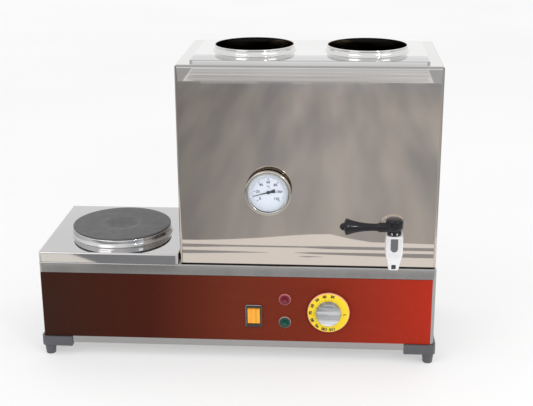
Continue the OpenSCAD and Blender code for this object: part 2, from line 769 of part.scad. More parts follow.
// Mineral wool in the jacket round and under the vessel
module insulation() color([0.9, 0.84, 0.6]) difference() {
  inset = sheet + slip;
  top = vessel_z1 - slip;
  translate([tank_x0 + inset, tank_y0 + inset, tank_z0 + 2 * sheet + slip])
    folded_box(tank_w - 2 * inset, casing_y1 - tank_y0 - 2 * inset, top - tank_z0 - 2 * sheet - slip,
      tank_r - sheet, tank_r - sheet);
  translate([vessel_x0 - slip, vessel_y0 - slip, vessel_z0 - slip])
    linear_extrude(vessel_z1) round_rect(vessel_x1 - vessel_x0 + 2 * slip, vessel_y1 - vessel_y0 + 2 * slip, vessel_r);
  floor_holes(tank_z0, 2 * jacket_floor, heater_r + 9, pocket_r + 6);
  wall_holes(tank_y0, jacket, slip);
  for (p = bolt_spots) translate([p[0], p[1], tank_z0]) cylinder(r = 6, h = 14);
  translate([back_x0, casing_y1 - sheet_screw_l - 2, back_z0]) difference() {
    cube([back_x1 - back_x0, sheet_screw_l + 2, back_z1 - back_z0]);
    translate([flange_w, -1, flange_w])
      cube([back_x1 - back_x0 - 2 * flange_w, sheet_screw_l + 4, back_z1 - back_z0 - 2 * flange_w]);
  }
}

module heating_element() color([0.4, 0.4, 0.4]) {
  top_z = heater_z;
  front_y = heater_y - heater_l + heater_pitch / 2;
  for (s = [-1, 1]) translate([tank_cx + s * heater_pitch / 2, heater_y, 0]) {
    translate([0, 0, vessel_z0 - heater_tail])
      cylinder(r = heater_r, h = top_z - heater_bend - vessel_z0 + heater_tail);
    translate([0, -heater_bend, top_z - heater_bend]) rotate([90, 0, 90])
      rotate_extrude(angle = 90) translate([heater_bend, 0]) circle(heater_r, $fn = 32);
    translate([0, front_y - heater_y, top_z]) along_y(heater_r, heater_y - heater_bend - front_y);
    translate([0, 0, vessel_z0 - heater_tail - 8]) cylinder(r = 1.6, h = 8.5);
  }
  translate([tank_cx, front_y, top_z]) rotate([0, 0, 180])
    rotate_extrude(angle = 180) translate([heater_pitch / 2, 0]) circle(heater_r, $fn = 32);
}

module element_nuts() color(brass) for (s = [-1, 1])
  translate([tank_cx + s * heater_pitch / 2, heater_y, 0]) {
    translate([0, 0, vessel_z0 - 7]) difference() {
      cylinder(r = 11, h = 7, $fn = 6);
      translate([0, 0, -1]) cylinder(r = heater_r + slip / 2, h = 9);
    }
    translate([0, 0, vessel_z0 + vessel_wall]) difference() {
      cylinder(r = 10, h = 3.5);
      translate([0, 0, -1]) cylinder(r = heater_r + slip / 2, h = 6);
    }
  }

module bulb_pocket() color(brass) translate([knob_cx, capillary_y, 0]) difference() {
  union() {
    translate([0, 0, vessel_z0 - 6]) cylinder(r = pocket_r, h = pocket_l);
    translate([0, 0, vessel_z0 - 6]) cylinder(r = 9, h = 6, $fn = 6);
    translate([0, 0, vessel_z0 + vessel_wall]) cylinder(r = 8, h = 4, $fn = 6);
  }
  translate([0, 0, vessel_z0 - 7]) cylinder(r = bulb_r + slip, h = pocket_l - 1);
}

module thermostat_capillary() color(brass) translate([knob_cx, 0, 0]) {
  translate([0, thermo_y1, capillary_z]) along_y(capillary_r, capillary_run + eps);
  translate([0, thermo_y1 + capillary_run, capillary_z + capillary_bend]) rotate([90, 0, 90])
    rotate_extrude(angle = -90) translate([capillary_bend, 0]) circle(capillary_r, $fn = 32);
  translate([0, capillary_y, capillary_z + capillary_bend - eps])
    cylinder(r = capillary_r, h = vessel_z0 + 4 - capillary_z - capillary_bend + 2 * eps);
  translate([0, capillary_y, vessel_z0 + 4]) cylinder(r = bulb_r, h = bulb_l - 1);
}

module thermometer_case() color(steel) translate([gauge_cx, 0, gauge_cz]) difference() {
  translate([0, gauge_y + 1.2, 0]) along_y(case_r, case_y1 - gauge_y - 1.2);
  translate([0, gauge_y + 0.2, 0]) along_y(case_r - case_wall, case_y1 - case_wall - gauge_y - 0.2);
  translate([0, case_y1 - case_wall - 1, 0]) along_y(probe_r + slip, case_wall + 2);
}

module thermometer_bezel() color(steel) translate([gauge_cx, gauge_y, gauge_cz])
  turned_y([
    [dial_d / 2, 0.9], [dial_d / 2 + 1.4, 0], [bezel_d / 2 - 1.2, 0], [bezel_d / 2 - 0.3, 0.5],
    [bezel_d / 2, 1.6], [bezel_d / 2, bezel_h - 0.8], [bezel_d / 2 - 0.8, bezel_h],
    [case_r + slip / 2, bezel_h], [case_r + slip / 2, 1.2], [dial_d / 2, 1.2]
  ]);

module thermometer_glass() color([0.9, 0.95, 0.98, 0.35]) translate([gauge_cx, glass_y, gauge_cz])
  along_y(case_r - case_wall - slip / 2, glass_t);

module thermometer_dial() color([0.96, 0.96, 0.94]) translate([gauge_cx, dial_y, gauge_cz]) difference() {
  along_y(case_r - case_wall - slip / 2, case_y1 - case_wall - dial_y);
  translate([0, -1, 0]) along_y(spindle_r + run, 8);
  translate([0, dial_t, 0]) along_y(case_r - case_wall - 3, 8);
}

// Needle with its counterweight, boss and spindle
module thermometer_needle() color(black) translate([gauge_cx, dial_y, gauge_cz]) rotate([0, -needle_angle, 0]) {
  translate([0, -1.6, 0]) rotate([-90, 0, 0]) linear_extrude(0.6)
    polygon([[-9, 1.9], [-9, -1.9], [0, -1], [dial_d / 2 - 7, -0.35], [dial_d / 2 - 7, 0.35], [0, 1]]);
  translate([0, -2, 0]) along_y(3, 1.4);
  translate([0, -1, 0]) along_y(spindle_r, case_y1 - dial_y + 4);
}

module thermometer_stem() color(brass) translate([gauge_cx, 0, gauge_cz]) difference() {
  union() {
    translate([0, case_y1, 0]) rotate([-90, 0, 0]) cylinder(r = 13, h = hex_t, $fn = 6);
    translate([0, case_y1 - case_wall + 0.1, 0]) along_y(probe_r, case_wall);
    translate([0, tank_y0 - eps, 0]) along_y(stem_d / 2, shell_stack + nut_t + 2);
    translate([0, tank_y0, 0]) along_y(probe_r, shell_stack + probe_l);
  }
  translate([0, case_y1 - case_wall - 1, 0]) along_y(spindle_r + run, 12);
}

module thermometer_nut() color(brass)
  translate([gauge_cx, vessel_y0 + vessel_wall, gauge_cz]) difference() {
    rotate([-90, 0, 0]) cylinder(r = 12, h = nut_t, $fn = 6);
    translate([0, -1, 0]) along_y(stem_d / 2 + slip / 2, nut_t + 2);
  }

// Front of the tap's body: straight head, then a taper down to a round-cornered tip
module tap_profile(w0, w1) {
  r = 3;
  total = tap_head_h + spout_h;
  polygon([[-w0 / 2, 0], [w0 / 2, 0], [w0 / 2, -tap_head_h], [w1 / 2, -total + r], [-w1 / 2, -total + r],
    [-w0 / 2, -tap_head_h]]);
  translate([-w1 / 2 + r, -total]) square([w1 - 2 * r, r + 1]);
  for (s = [-1, 1]) translate([s * (w1 / 2 - r), -total + r]) circle(r);
}

// Turned blank that rounds the four edges of the body
module tap_blank() {
  grow = 3.2;
  total = tap_head_h + spout_h;
  rotate_extrude() polygon([[0, 0], [tap_w / 2 + 0.5, 0], [tap_w / 2 + grow, -2.5], [tap_w / 2 + grow, -tap_head_h],
    [spout_w / 2 + 1.8, -total], [0, -total]]);
}

module tap_body() color(chrome) translate([tap_cx, tap_cy, tap_top]) difference() {
  boss_y = bonnet_d / 2 + 0.6;
  boss_r = bonnet_h + tap_top - tap_cz;
  union() {
    intersection() {
      translate([0, tap_w, 0]) rotate([90, 0, 0]) linear_extrude(2 * tap_w) tap_profile(tap_w, spout_w);
      translate([-tap_w, 0, 0]) rotate([90, 0, 90]) linear_extrude(2 * tap_w) tap_profile(tap_w, spout_w);
      tap_blank();
    }
    translate([0, 0, tap_cz - tap_top]) along_y(shank_r, tap_out + shell_stack + seal_t + nut_t + 4);
    translate([0, 0, tap_cz - tap_top]) turned_y([[0, boss_y], [boss_r, boss_y], [boss_r, boss_y + 6],
      [shank_r, boss_y + 13], [0, boss_y + 13]]);
    translate([0, 0, -eps]) cylinder(r = neck_r, h = neck_h + eps);
  }
  // Valve seat, outlet and inlet
  translate([0, 0, -seat_h]) cylinder(r = plug_r + run, h = seat_h + bonnet_h);
  translate([0, 0, -tap_head_h - spout_h - 1]) cylinder(r = outlet_d / 2, h = tap_head_h + spout_h);
  translate([0, 0, tap_cz - tap_top]) along_y(outlet_d / 2, tap_out + shell_stack + 40);
  // Tongue-shaped hollow in the front and the small window at the tip
  translate([0, -tap_w / 2 + 1.2, -22]) rotate([90, 0, 0]) linear_extrude(5) {
    circle(6.2);
    translate([-6.2, 0]) square([12.4, 17]);
  }
  translate([-3.6, -tap_w, -tap_head_h - spout_h + 3.5]) cube([7.2, tap_w - spout_w / 2 + 0.6, 7.5]);
}

module tap_rosette() color(chrome) translate([tap_cx, tank_y0 - rosette_t, tap_cz]) difference() {
  turned_y([[0, 0], [rosette_d / 2 - 6, 0], [rosette_d / 2 - 1.5, rosette_t - 2.2], [rosette_d / 2, rosette_t - 1.4],
    [rosette_d / 2, rosette_t], [0, rosette_t]]);
  translate([0, -1, 0]) along_y(shank_r + slip / 2, rosette_t + 2);
}

module tap_seal() color([0.75, 0.3, 0.2])
  translate([tap_cx, vessel_y0 + vessel_wall, tap_cz]) ring_y(shank_r + 6, shank_r + slip / 2, seal_t);

module tap_lock_nut() color(brass)
  translate([tap_cx, vessel_y0 + vessel_wall + seal_t, tap_cz]) difference() {
    rotate([-90, 0, 0]) cylinder(r = shank_r + 6, h = nut_t, $fn = 6);
    translate([0, -1, 0]) along_y(shank_r + slip / 2, nut_t + 2);
  }

// Castellated black cap over the neck, notched at the back for the shank
module tap_bonnet() color(black) translate([tap_cx, tap_cy, tap_top]) difference() {
  rotate_extrude() polygon([[0, 0], [bonnet_d / 2 - 0.8, 0], [bonnet_d / 2, 0.8], [bonnet_d / 2, bonnet_h - 1.2],
    [bonnet_d / 2 - 1.2, bonnet_h], [0, bonnet_h]]);
  translate([0, 0, -1]) cylinder(r = neck_r + slip / 2, h = neck_h + 1);
  translate([0, 0, -1]) cylinder(r = spindle_w + run, h = bonnet_h + 2);
  translate([0, 0, tap_cz - tap_top]) along_y(shank_r + slip, bonnet_d);
  for (i = [0:11]) rotate(i * 30 + 15) translate([bonnet_d / 2 + 0.7, 0, 1.2]) cylinder(r = 1.4, h = bonnet_h, $fn = 24);
}

// Cylindrical valve plug with its side port and spindle
module tap_plug() color(brass) translate([tap_cx, tap_cy, tap_top]) {
  port_r = outlet_d / 2 - 1;
  difference() {
    translate([0, 0, slip - seat_h]) cylinder(r = plug_r, h = seat_h + neck_h - 2 * slip);
    translate([0, 0, -seat_h - 1]) cylinder(r = port_r, h = seat_h + 1 + tap_cz - tap_top + port_r);
    translate([0, 0, tap_cz - tap_top]) rotate([0, 90, 0]) cylinder(r = port_r, h = plug_d);
  }
  translate([0, 0, neck_h - slip - eps]) cylinder(r = spindle_w, h = bonnet_roof + slip + 12);
}

// Lever: castellated hub, turned handle with waist, flare and button
module tap_handle() color(black) translate([tap_cx, tap_cy, 0]) {
  difference() {
    union() {
      translate([0, 0, hub_z0]) rotate_extrude() polygon([
        [0, 0], [hub_d / 2 - 3, 0], [hub_d / 2 - 0.6, 2.2], [hub_d / 2, 4], [hub_d / 2, hub_h - 8],
        [hub_d / 2 - 5, hub_h - 2.5], [hub_d / 2 - 7, hub_h - 1], [hub_d / 2 - 7, hub_h], [0, hub_h]]);
      translate([0, 0, lever_z]) rotate([0, -90, 0]) rotate_extrude($fn = 64) polygon(lever_points());
    }
    translate([0, 0, hub_z0 - 1]) cylinder(r = spindle_w + 0.02, h = 13.2);
    translate([0, 0, hub_z0 - bonnet_h]) cylinder(r = bonnet_d / 2 + 2 * slip, h = bonnet_h);
    for (i = [0:9]) rotate(i * 36) translate([hub_d / 2 + 1.2, 0, hub_z0 + 14.6])
      cylinder(r = 2.4, h = hub_h, $fn = 24);
  }
}

// Outline of the lever along its axis: radius and distance from the hub's axis
function lever_points() = let (l = lever_l, rw = waist_d / 2, rf = flare_d / 2) concat(
  [[0, 0], [rw + 2, 0], [rw + 2, 25], [rw + 0.9, 27]],
  [for (t = [0:0.1:1]) [rw + (rf - rw) * pow(t, 2.4), 30 + (l - 12 - 30) * t]],
  [[rf, l - 11.2], [rf - 1.4, l - 9.4], [rf - 5.5, l - 7.6]],
  [for (a = [-50:20:90]) [6.5 * cos(a), l - 6.5 + 6.5 * sin(a)]]);

// Frame of the switch with its well, and its blade terminals at the back
module switch_housing() color(black) translate([switch_cx, 0, switch_cz]) difference() {
  union() {
    translate([0, y_panel, 0]) rotate([90, 0, 0]) linear_extrude(switch_lip)
      translate([-switch_w / 2, -switch_h / 2]) round_rect(switch_w, switch_h, 2.5);
    translate([-switch_body_w / 2, y_panel - eps, -switch_body_h / 2])
      cube([switch_body_w, switch_depth, switch_body_h]);
    for (x = [-7, 7], z = [-11, 11])
      translate([x - 0.4, y_panel + switch_depth - 1, z - 3.1]) cube([0.8, 10, 6.2]);
  }
  translate([-rocker_w / 2 - rocker_gap, y_panel - switch_lip - 1, -rocker_h / 2 - rocker_gap])
    cube([rocker_w + 2 * rocker_gap, switch_lip + 1 + 14, rocker_h + 2 * rocker_gap]);
  translate([-rocker_w / 2 - 1.4, rocker_pivot_y, 0]) rotate([0, 90, 0])
    cylinder(r = rocker_pin_r + run, h = rocker_w + 2.8);
}

// Rocker on its two pins, tilted to its off stop
module switch_rocker() color([0.96, 0.62, 0.12]) translate([switch_cx, rocker_pivot_y, switch_cz])
  rotate([rocker_swing / 2, 0, 0]) {
    reach = rocker_pivot_y - y_panel + switch_lip;
    rise = rocker_h / 2 * tan(rocker_swing / 2);
    rotate([90, 0, 90]) translate([0, 0, -rocker_w / 2]) linear_extrude(rocker_w) intersection() {
      circle(rocker_h / 2, $fn = 96);
      polygon([[-reach - 0.4, 0], [-reach - 0.4 - rise, rocker_h / 2], [5, rocker_h / 2], [5, -rocker_h / 2],
        [-reach - 0.4 - rise, -rocker_h / 2]]);
    }
    translate([-rocker_w / 2 - 1.2, 0, 0]) rotate([0, 90, 0]) cylinder(r = rocker_pin_r, h = rocker_w + 2.4);
  }

// Bezel of a lamp, with the body behind the panel
module lamp_bezel(i) {
  rb = lens_d / 2 + 1;
  translate([lamp_cx, y_panel, lamp_cz + i * lamp_pitch]) difference() {
    union() {
      turned_y([[0, 0], [lamp_d / 2, 0], [lamp_d / 2, -1], [lamp_d / 2 - 1.4, -2.6], [0, -2.6]]);
      along_y(rb, wall_stack + 20);
      translate([0, wall_stack, 0]) rotate([-90, 0, 0]) cylinder(r = rb + 4, h = 4, $fn = 6);
      for (s = [-1, 1]) translate([s * 4 - 0.4, wall_stack + 19, -2]) cube([0.8, 8, 4]);
    }
    translate([0, -3, 0]) along_y(lens_d / 2, 11);
  }
}

module lamp_lens(i) {
  rl = lens_d / 2 - 0.15;
  translate([lamp_cx, y_panel, lamp_cz + i * lamp_pitch])
    turned_y(concat([[0, 7.8], [rl, 7.8], [rl, -3]], [for (a = [15:15:90]) [rl * cos(a), -3 - 3 * sin(a)]]));
}

module red_lamp_bezel() color([0.75, 0.45, 0.5]) lamp_bezel(1);
module red_lamp_lens() color([0.5, 0.06, 0.12]) lamp_lens(1);
module green_lamp_bezel() color([0.75, 0.5, 0.5]) lamp_bezel(0);
module green_lamp_lens() color([0.12, 0.35, 0.25]) lamp_lens(0);

module thermostat_body() color(steel_dull) translate([knob_cx, 0, knob_cz]) difference() {
  union() {
    translate([-thermo_w / 2, thermo_y0, -thermo_h / 2]) cube([thermo_w, thermo_depth, thermo_h]);
    translate([0, y_panel - 1.5, 0]) along_y(bush_r, thermo_y0 - y_panel + 2);
    for (x = [-9, 9]) translate([x - 0.4, thermo_y1 - 1, -16]) cube([0.8, 9, 6.3]);
  }
  translate([0, y_panel - 3, 0]) along_y(shaft_d / 2 + run, thermo_y0 + 18 - y_panel);
  for (s = [-1, 1]) translate([s * screw_pitch / 2, thermo_y0 - 1, 0]) along_y(foot_screw_r + 0.02, 9);
}

module thermostat_screws() color(steel) for (s = [-1, 1])
  translate([knob_cx + s * screw_pitch / 2, y_panel, knob_cz]) pan_screw_y(foot_screw_r, wall_stack + 5);

module thermostat_shaft() color(steel_dull)
  translate([knob_cx, y_panel - disc_gap - disc_t - knob_h + 5, knob_cz])
    along_y(shaft_d / 2, thermo_y0 + 14 - y_panel + disc_gap + disc_t + knob_h - 5);

// Numbered disc: a shallow cup that clears the screw heads behind it
module thermostat_disc() color([0.95, 0.83, 0.25]) translate([knob_cx, y_panel - disc_gap - disc_t, knob_cz]) difference() {
  turned_y([[0, 0], [disc_d / 2 - 1.4, 0], [disc_d / 2, 1.2], [disc_d / 2, disc_t], [0, disc_t]]);
  translate([0, disc_wall, 0]) along_y(disc_d / 2 - disc_wall, disc_t);
  translate([0, -1, 0]) along_y(shaft_d / 2 + 0.02, disc_t + 2);
}

// Chrome knob with a domed face
module thermostat_knob() color(chrome) translate([knob_cx, y_panel - disc_gap - disc_t - knob_h, knob_cz]) difference() {
  r = knob_d / 2;
  crown = 2.2;
  turned_y(concat([[0, knob_h], [r, knob_h], [r, knob_h - 2], [r - 1.3, knob_h - 2.6], [r - 2.2, crown + 4]],
    [for (a = [0:15:75]) [r - 6.4 + 4 * cos(a), crown + 4 - 4 * sin(a)]],
    [for (t = [0.8, 0.6, 0.4, 0.2, 0]) [(r - 6.4) * t, crown * t * t]]));
  translate([0, 4.98, 0]) along_y(shaft_d / 2 + 0.02, knob_h);
}

base_cabinet();
base_bottom_plate();
base_service_cover();
service_cover_screws();
control_panel();
foot_front_left();
foot_front_right();
foot_rear_left();
foot_rear_right();
foot_screws();
cable_gland();
gland_lock_nut();
mains_terminal_block();
hotplate_tray();
hotplate_rim();
hotplate_iron();
hotplate_bridge();
hotplate_stud();
hotplate_terminals();
tank_gasket();
tank_floor();
tank_bolts();
tank_casing();
tank_back_panel();
back_panel_screws();
tank_cover();
teapot_collar_left();
teapot_collar_right();
water_vessel();
insulation();
heating_element();
element_nuts();
bulb_pocket();
thermostat_capillary();
thermometer_case();
thermometer_bezel();
thermometer_glass();
thermometer_dial();
thermometer_needle();
thermometer_stem();
thermometer_nut();
tap_body();
tap_rosette();
tap_seal();
tap_lock_nut();
tap_bonnet();
tap_plug();
tap_handle();
switch_housing();
switch_rocker();
red_lamp_bezel();
red_lamp_lens();
green_lamp_bezel();
green_lamp_lens();
thermostat_body();
thermostat_screws();
thermostat_shaft();
thermostat_disc();
thermostat_knob();
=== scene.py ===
"""Looks of an electric tea urn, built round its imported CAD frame.

The urn is a low control cabinet with a cast-iron hot plate on its left and a
double-walled water tank on its right. Each sub-assembly is a class that models
its own pieces with Blender's operators, dresses them and the CAD nodes that
stay, and hangs every piece on the body that carries it.
Sizes are in millimetres; the bench functions turn them into metres. Only the
studio is laid out in metres.
"""

import logging
import math
from collections.abc import Callable, Iterator, Sequence
from contextlib import contextmanager
from dataclasses import dataclass, field
from enum import Enum

import bmesh
import bpy
from mathutils import Matrix, Vector


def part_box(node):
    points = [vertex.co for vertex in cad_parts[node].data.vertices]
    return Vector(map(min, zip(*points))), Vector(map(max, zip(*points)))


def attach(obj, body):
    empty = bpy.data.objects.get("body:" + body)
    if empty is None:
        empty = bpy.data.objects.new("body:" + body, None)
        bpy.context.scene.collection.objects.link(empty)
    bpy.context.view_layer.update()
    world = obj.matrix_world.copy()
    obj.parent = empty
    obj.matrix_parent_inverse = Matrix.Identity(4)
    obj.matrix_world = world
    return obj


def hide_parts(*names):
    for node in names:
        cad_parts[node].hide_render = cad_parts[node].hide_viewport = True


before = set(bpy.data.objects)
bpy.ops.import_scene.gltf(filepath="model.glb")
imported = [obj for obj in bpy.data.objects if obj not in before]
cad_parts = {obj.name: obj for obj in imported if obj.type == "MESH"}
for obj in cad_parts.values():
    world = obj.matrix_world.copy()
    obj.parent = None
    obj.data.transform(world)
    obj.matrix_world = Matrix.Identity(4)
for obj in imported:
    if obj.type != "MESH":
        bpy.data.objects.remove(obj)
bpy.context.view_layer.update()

LOG = logging.getLogger("tea_urn")
MM = 0.001
TINY = 0.0008

Point = tuple[float, float]
Triple = tuple[float, float, float]
Colour = Triple
Profile = Sequence[Point]
Stops = Sequence[tuple[float, Colour]]
Piece = bpy.types.Object
Socket = bpy.types.NodeSocket


class Axis(Enum):
    """Direction in which a turned piece's profile runs, as a turn about X and Y."""

    UP = (0.0, 0.0)
    BACK = (-90.0, 0.0)
    LEFT = (0.0, -90.0)


class Pick(Enum):
    """What a selection test is asked about."""

    CORNERS = "VERT"
    EDGES = "EDGE"
    FACES = "FACE"


# Bench: the hand tools that every sub-assembly uses


def clear() -> None:
    """Leaves edit mode and deselects everything."""
    if bpy.context.mode != "OBJECT":
        bpy.ops.object.mode_set(mode="OBJECT")
    bpy.ops.object.select_all(action="DESELECT")


def take(piece: Piece) -> None:
    """Makes one piece the only selected and the active one."""
    clear()
    piece.select_set(True)
    bpy.context.view_layer.objects.active = piece


@contextmanager
def editing(piece: Piece, kind: Pick) -> Iterator[None]:
    """Opens a piece in edit mode with nothing selected, and closes it again.

    Args:
        piece: The piece to edit.
        kind: Whether corners, edges or faces are picked.
    """
    take(piece)
    bpy.ops.object.mode_set(mode="EDIT")
    bpy.ops.mesh.select_mode(type=kind.value)
    bpy.ops.mesh.select_all(action="DESELECT")
    yield
    bpy.ops.object.mode_set(mode="OBJECT")


def pick(piece: Piece, kind: Pick, test: Callable[[Vector, Vector], bool]) -> int:
    """Selects by place and direction, in edit mode.

    Args:
        piece: The piece in edit mode.
        kind: What is picked.
        test: Gets the middle in millimetres and the normal, or an edge's direction.

    Returns:
        How many were picked.
    """
    mesh = bmesh.from_edit_mesh(piece.data)
    found = 0
    if kind is Pick.FACES:
        for face in mesh.faces:
            face.select = test(face.calc_center_median() / MM, face.normal)
            found += face.select
    elif kind is Pick.EDGES:
        for edge in mesh.edges:
            ends = [corner.co for corner in edge.verts]
            edge.select = test((ends[0] + ends[1]) / 2 / MM, (ends[1] - ends[0]).normalized())
            found += edge.select
    else:
        for corner in mesh.verts:
            corner.select = test(corner.co / MM, corner.normal)
            found += corner.select
    mesh.select_flush_mode()
    bmesh.update_edit_mesh(piece.data)
    return found


def settle(piece: Piece) -> Piece:
    """Applies a piece's place, turn and scale, so that its object sits at the origin."""
    take(piece)
    bpy.ops.object.transform_apply(location=True, rotation=True, scale=True)
    return piece


def outward(piece: Piece) -> Piece:
    """Merges doubles and turns all faces outwards."""
    with editing(piece, Pick.CORNERS):
        bpy.ops.mesh.select_all(action="SELECT")
        bpy.ops.mesh.remove_doubles(threshold=0.004 * MM)
        bpy.ops.mesh.normals_make_consistent(inside=False)
    return piece


def block(name: str, low: Sequence[float], high: Sequence[float]) -> Piece:
    """Adds a block between two corners.

    Args:
        name: Name of the piece.
        low: Lowest corner in millimetres.
        high: Highest corner in millimetres.

    Returns:
        The block, ready to be shaped.
    """
    clear()
    a, b = Vector(low) * MM, Vector(high) * MM
    bpy.ops.mesh.primitive_cube_add(size=1, location=(a + b) / 2, scale=b - a)
    piece = bpy.context.object
    piece.name = piece.data.name = name
    return settle(piece)


def rod(name: str, radius: float, low: float, high: float, centre: Sequence[float], axis: Axis = Axis.UP,
        sides: int = 48) -> Piece:
    """Adds a round or many-sided rod.

    Args:
        name: Name of the piece.
        radius: Radius to the corners.
        low: Where it starts along its axis, from the centre.
        high: Where it ends.
        centre: Point that it is measured from.
        axis: Direction of its length.
        sides: Number of sides.

    Returns:
        The rod.
    """
    clear()
    bpy.ops.mesh.primitive_cylinder_add(vertices=sides, radius=radius * MM, depth=(high - low) * MM,
                                        location=(0, 0, (low + high) / 2 * MM))
    piece = bpy.context.object
    piece.name = piece.data.name = name
    settle(piece)
    return place(piece, centre, axis)


def place(piece: Piece, centre: Sequence[float], axis: Axis = Axis.UP, spin: float = 0.0) -> Piece:
    """Turns a piece from upright to its axis and moves it to its place.

    Args:
        piece: A piece made round the origin.
        centre: Where the origin goes, in millimetres.
        axis: Where its upward direction goes.
        spin: Turn about its own upright axis first, in degrees.

    Returns:
        The piece in its place.
    """
    about_x, about_y = axis.value
    turn = Matrix.Rotation(math.radians(about_y), 4, "Y") @ Matrix.Rotation(math.radians(about_x), 4, "X")
    spun = Matrix.Rotation(math.radians(spin), 4, "Z")
    piece.matrix_world = Matrix.Translation(Vector(centre) * MM) @ turn @ spun
    return settle(piece)


def turned(name: str, profile: Profile, centre: Sequence[float], axis: Axis = Axis.UP,
           sides: int = 96) -> Piece:
    """Turns a profile on the lathe, by extruding and scaling a ring step by step.

    Args:
        name: Name of the piece.
        profile: Points of (radius, height). It starts and ends on the axis, or ends where it started.
        centre: Where the profile's zero goes.
        axis: Direction of the profile's height.
        sides: Number of sides.

    Returns:
        The closed piece.
    """
    clear()
    radius, height = max(profile[0][0], TINY), profile[0][1]
    bpy.ops.mesh.primitive_circle_add(vertices=sides, radius=radius * MM, location=(0, 0, height * MM))
    piece = bpy.context.object
    piece.name = piece.data.name = name
    settle(piece)
    bpy.ops.object.mode_set(mode="EDIT")
    bpy.ops.mesh.select_mode(type="VERT")
    bpy.ops.mesh.select_all(action="SELECT")
    for next_radius, next_height in profile[1:]:
        next_radius = max(next_radius, TINY)
        bpy.ops.mesh.extrude_region_move(
            TRANSFORM_OT_translate={"value": (0, 0, (next_height - height) * MM)})
        ratio = next_radius / radius
        bpy.ops.transform.resize(value=(ratio, ratio, 1), center_override=(0, 0, next_height * MM))
        radius, height = next_radius, next_height
    bpy.ops.object.mode_set(mode="OBJECT")
    return place(outward(piece), centre, axis)


def shape(piece: Piece, kind: str, **settings: object) -> Piece:
    """Adds a modifier with its settings and applies it."""
    take(piece)
    modifier = piece.modifiers.new(kind.lower(), kind)
    for key, value in settings.items():
        setattr(modifier, key, value)
    bpy.ops.object.modifier_apply(modifier=modifier.name)
    return piece


def carve(piece: Piece, *cutters: Piece, operation: str = "DIFFERENCE") -> Piece:
    """Cuts other pieces out of a piece, or adds them to it, and removes them.

    Args:
        piece: The piece that stays.
        cutters: Closed pieces.
        operation: DIFFERENCE, UNION or INTERSECT.

    Returns:
        The piece.
    """
    for cutter in cutters:
        shape(piece, "BOOLEAN", object=cutter, operation=operation, solver="EXACT")
        bpy.data.objects.remove(cutter)
    return piece


def soften(piece: Piece, width: float, segments: int = 2, angle: float = 30.0) -> Piece:
    """Breaks all edges sharper than an angle, in millimetres."""
    return shape(piece, "BEVEL", width=width * MM, segments=segments, limit_method="ANGLE",
                 angle_limit=math.radians(angle), use_clamp_overlap=True, miter_outer="MITER_ARC")


def round_edges(piece: Piece, width: float, segments: int, test: Callable[[Vector, Vector], bool]) -> Piece:
    """Rounds the edges that a test picks, by hand in edit mode."""
    with editing(piece, Pick.EDGES):
        pick(piece, Pick.EDGES, test)
        bpy.ops.mesh.bevel(offset=width * MM, segments=segments, affect="EDGES")
    return piece


def smooth(piece: Piece, angle: float = 32.0) -> Piece:
    """Shades a piece smooth except at edges sharper than an angle."""
    take(piece)
    bpy.ops.object.shade_smooth_by_angle(angle=math.radians(angle))
    return piece


def twin(piece: Piece, name: str) -> Piece:
    """Copies a piece with a mesh of its own."""
    other = piece.copy()
    other.data = piece.data.copy()
    other.name = other.data.name = name
    bpy.context.scene.collection.objects.link(other)
    return other


def join(name: str, pieces: Sequence[Piece]) -> Piece:
    """Joins several pieces into one of that name."""
    clear()
    for piece in pieces:
        piece.select_set(True)
    bpy.context.view_layer.objects.active = pieces[0]
    bpy.ops.object.join()
    joined = bpy.context.object
    joined.name = joined.data.name = name
    return joined


def lettering(name: str, words: str, height: float, centre: Sequence[float], turn: float = 0.0,
              weight: float = 0.12) -> Piece:
    """Prints words that face the front, as a thin mesh.

    Args:
        name: Name of the piece.
        words: What is printed.
        height: Size of the letters.
        centre: Middle of the words, at the surface that carries them.
        turn: Turn in the plane of the front, in degrees counter-clockwise.
        weight: How far the strokes are fattened on each side.

    Returns:
        The letters as a mesh.
    """
    clear()
    bpy.ops.object.text_add(location=(0, 0, 0))
    text = bpy.context.object
    text.data.body = words
    text.data.size = height * 1.4 * MM
    text.data.align_x = "CENTER"
    text.data.align_y = "CENTER"
    text.data.extrude = 0.03 * MM
    text.data.offset = weight * MM
    text.data.resolution_u = 3
    take(text)
    bpy.ops.object.convert(target="MESH")
    piece = bpy.context.object
    piece.name = piece.data.name = name
    piece.matrix_world = (Matrix.Translation(Vector(centre) * MM) @ Matrix.Rotation(math.radians(90), 4, "X")
                          @ Matrix.Rotation(math.radians(turn), 4, "Z"))
    return settle(piece)


def span(node: str) -> tuple[Vector, Vector]:
    """Lowest and highest corner of a CAD node, in millimetres."""
    low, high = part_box(node)
    return low / MM, high / MM


def middle(node: str) -> Vector:
    """Middle of a CAD node's box, in millimetres."""
    low, high = span(node)
    return (low + high) / 2


def terminal(x: float, z: float, start: float, end: float) -> Piece:
    """Adds a flat push-on terminal that points backwards from start to end."""
    half_thick, half_wide = 0.4, 3.15
    return block("blade", (x - half_thick, start, z - half_wide), (x + half_thick, end, z + half_wide))


def arc(centre: Point, radius: float, start: float, end: float, steps: int) -> list[Point]:
    """Points along an arc in a profile.

    Args:
        centre: Middle of the arc as radius and height.
        radius: Radius of the arc.
        start: First angle in degrees, from outward.
        end: Last angle.
        steps: Number of steps.

    Returns:
        The points, both ends included.
    """
    angles = [math.radians(start + (end - start) * i / steps) for i in range(steps + 1)]
    return [(centre[0] + radius * math.cos(a), centre[1] + radius * math.sin(a)) for a in angles]


# Finishes


def grey(tone: float) -> Colour:
    """A tone without colour."""
    return (tone, tone, tone)


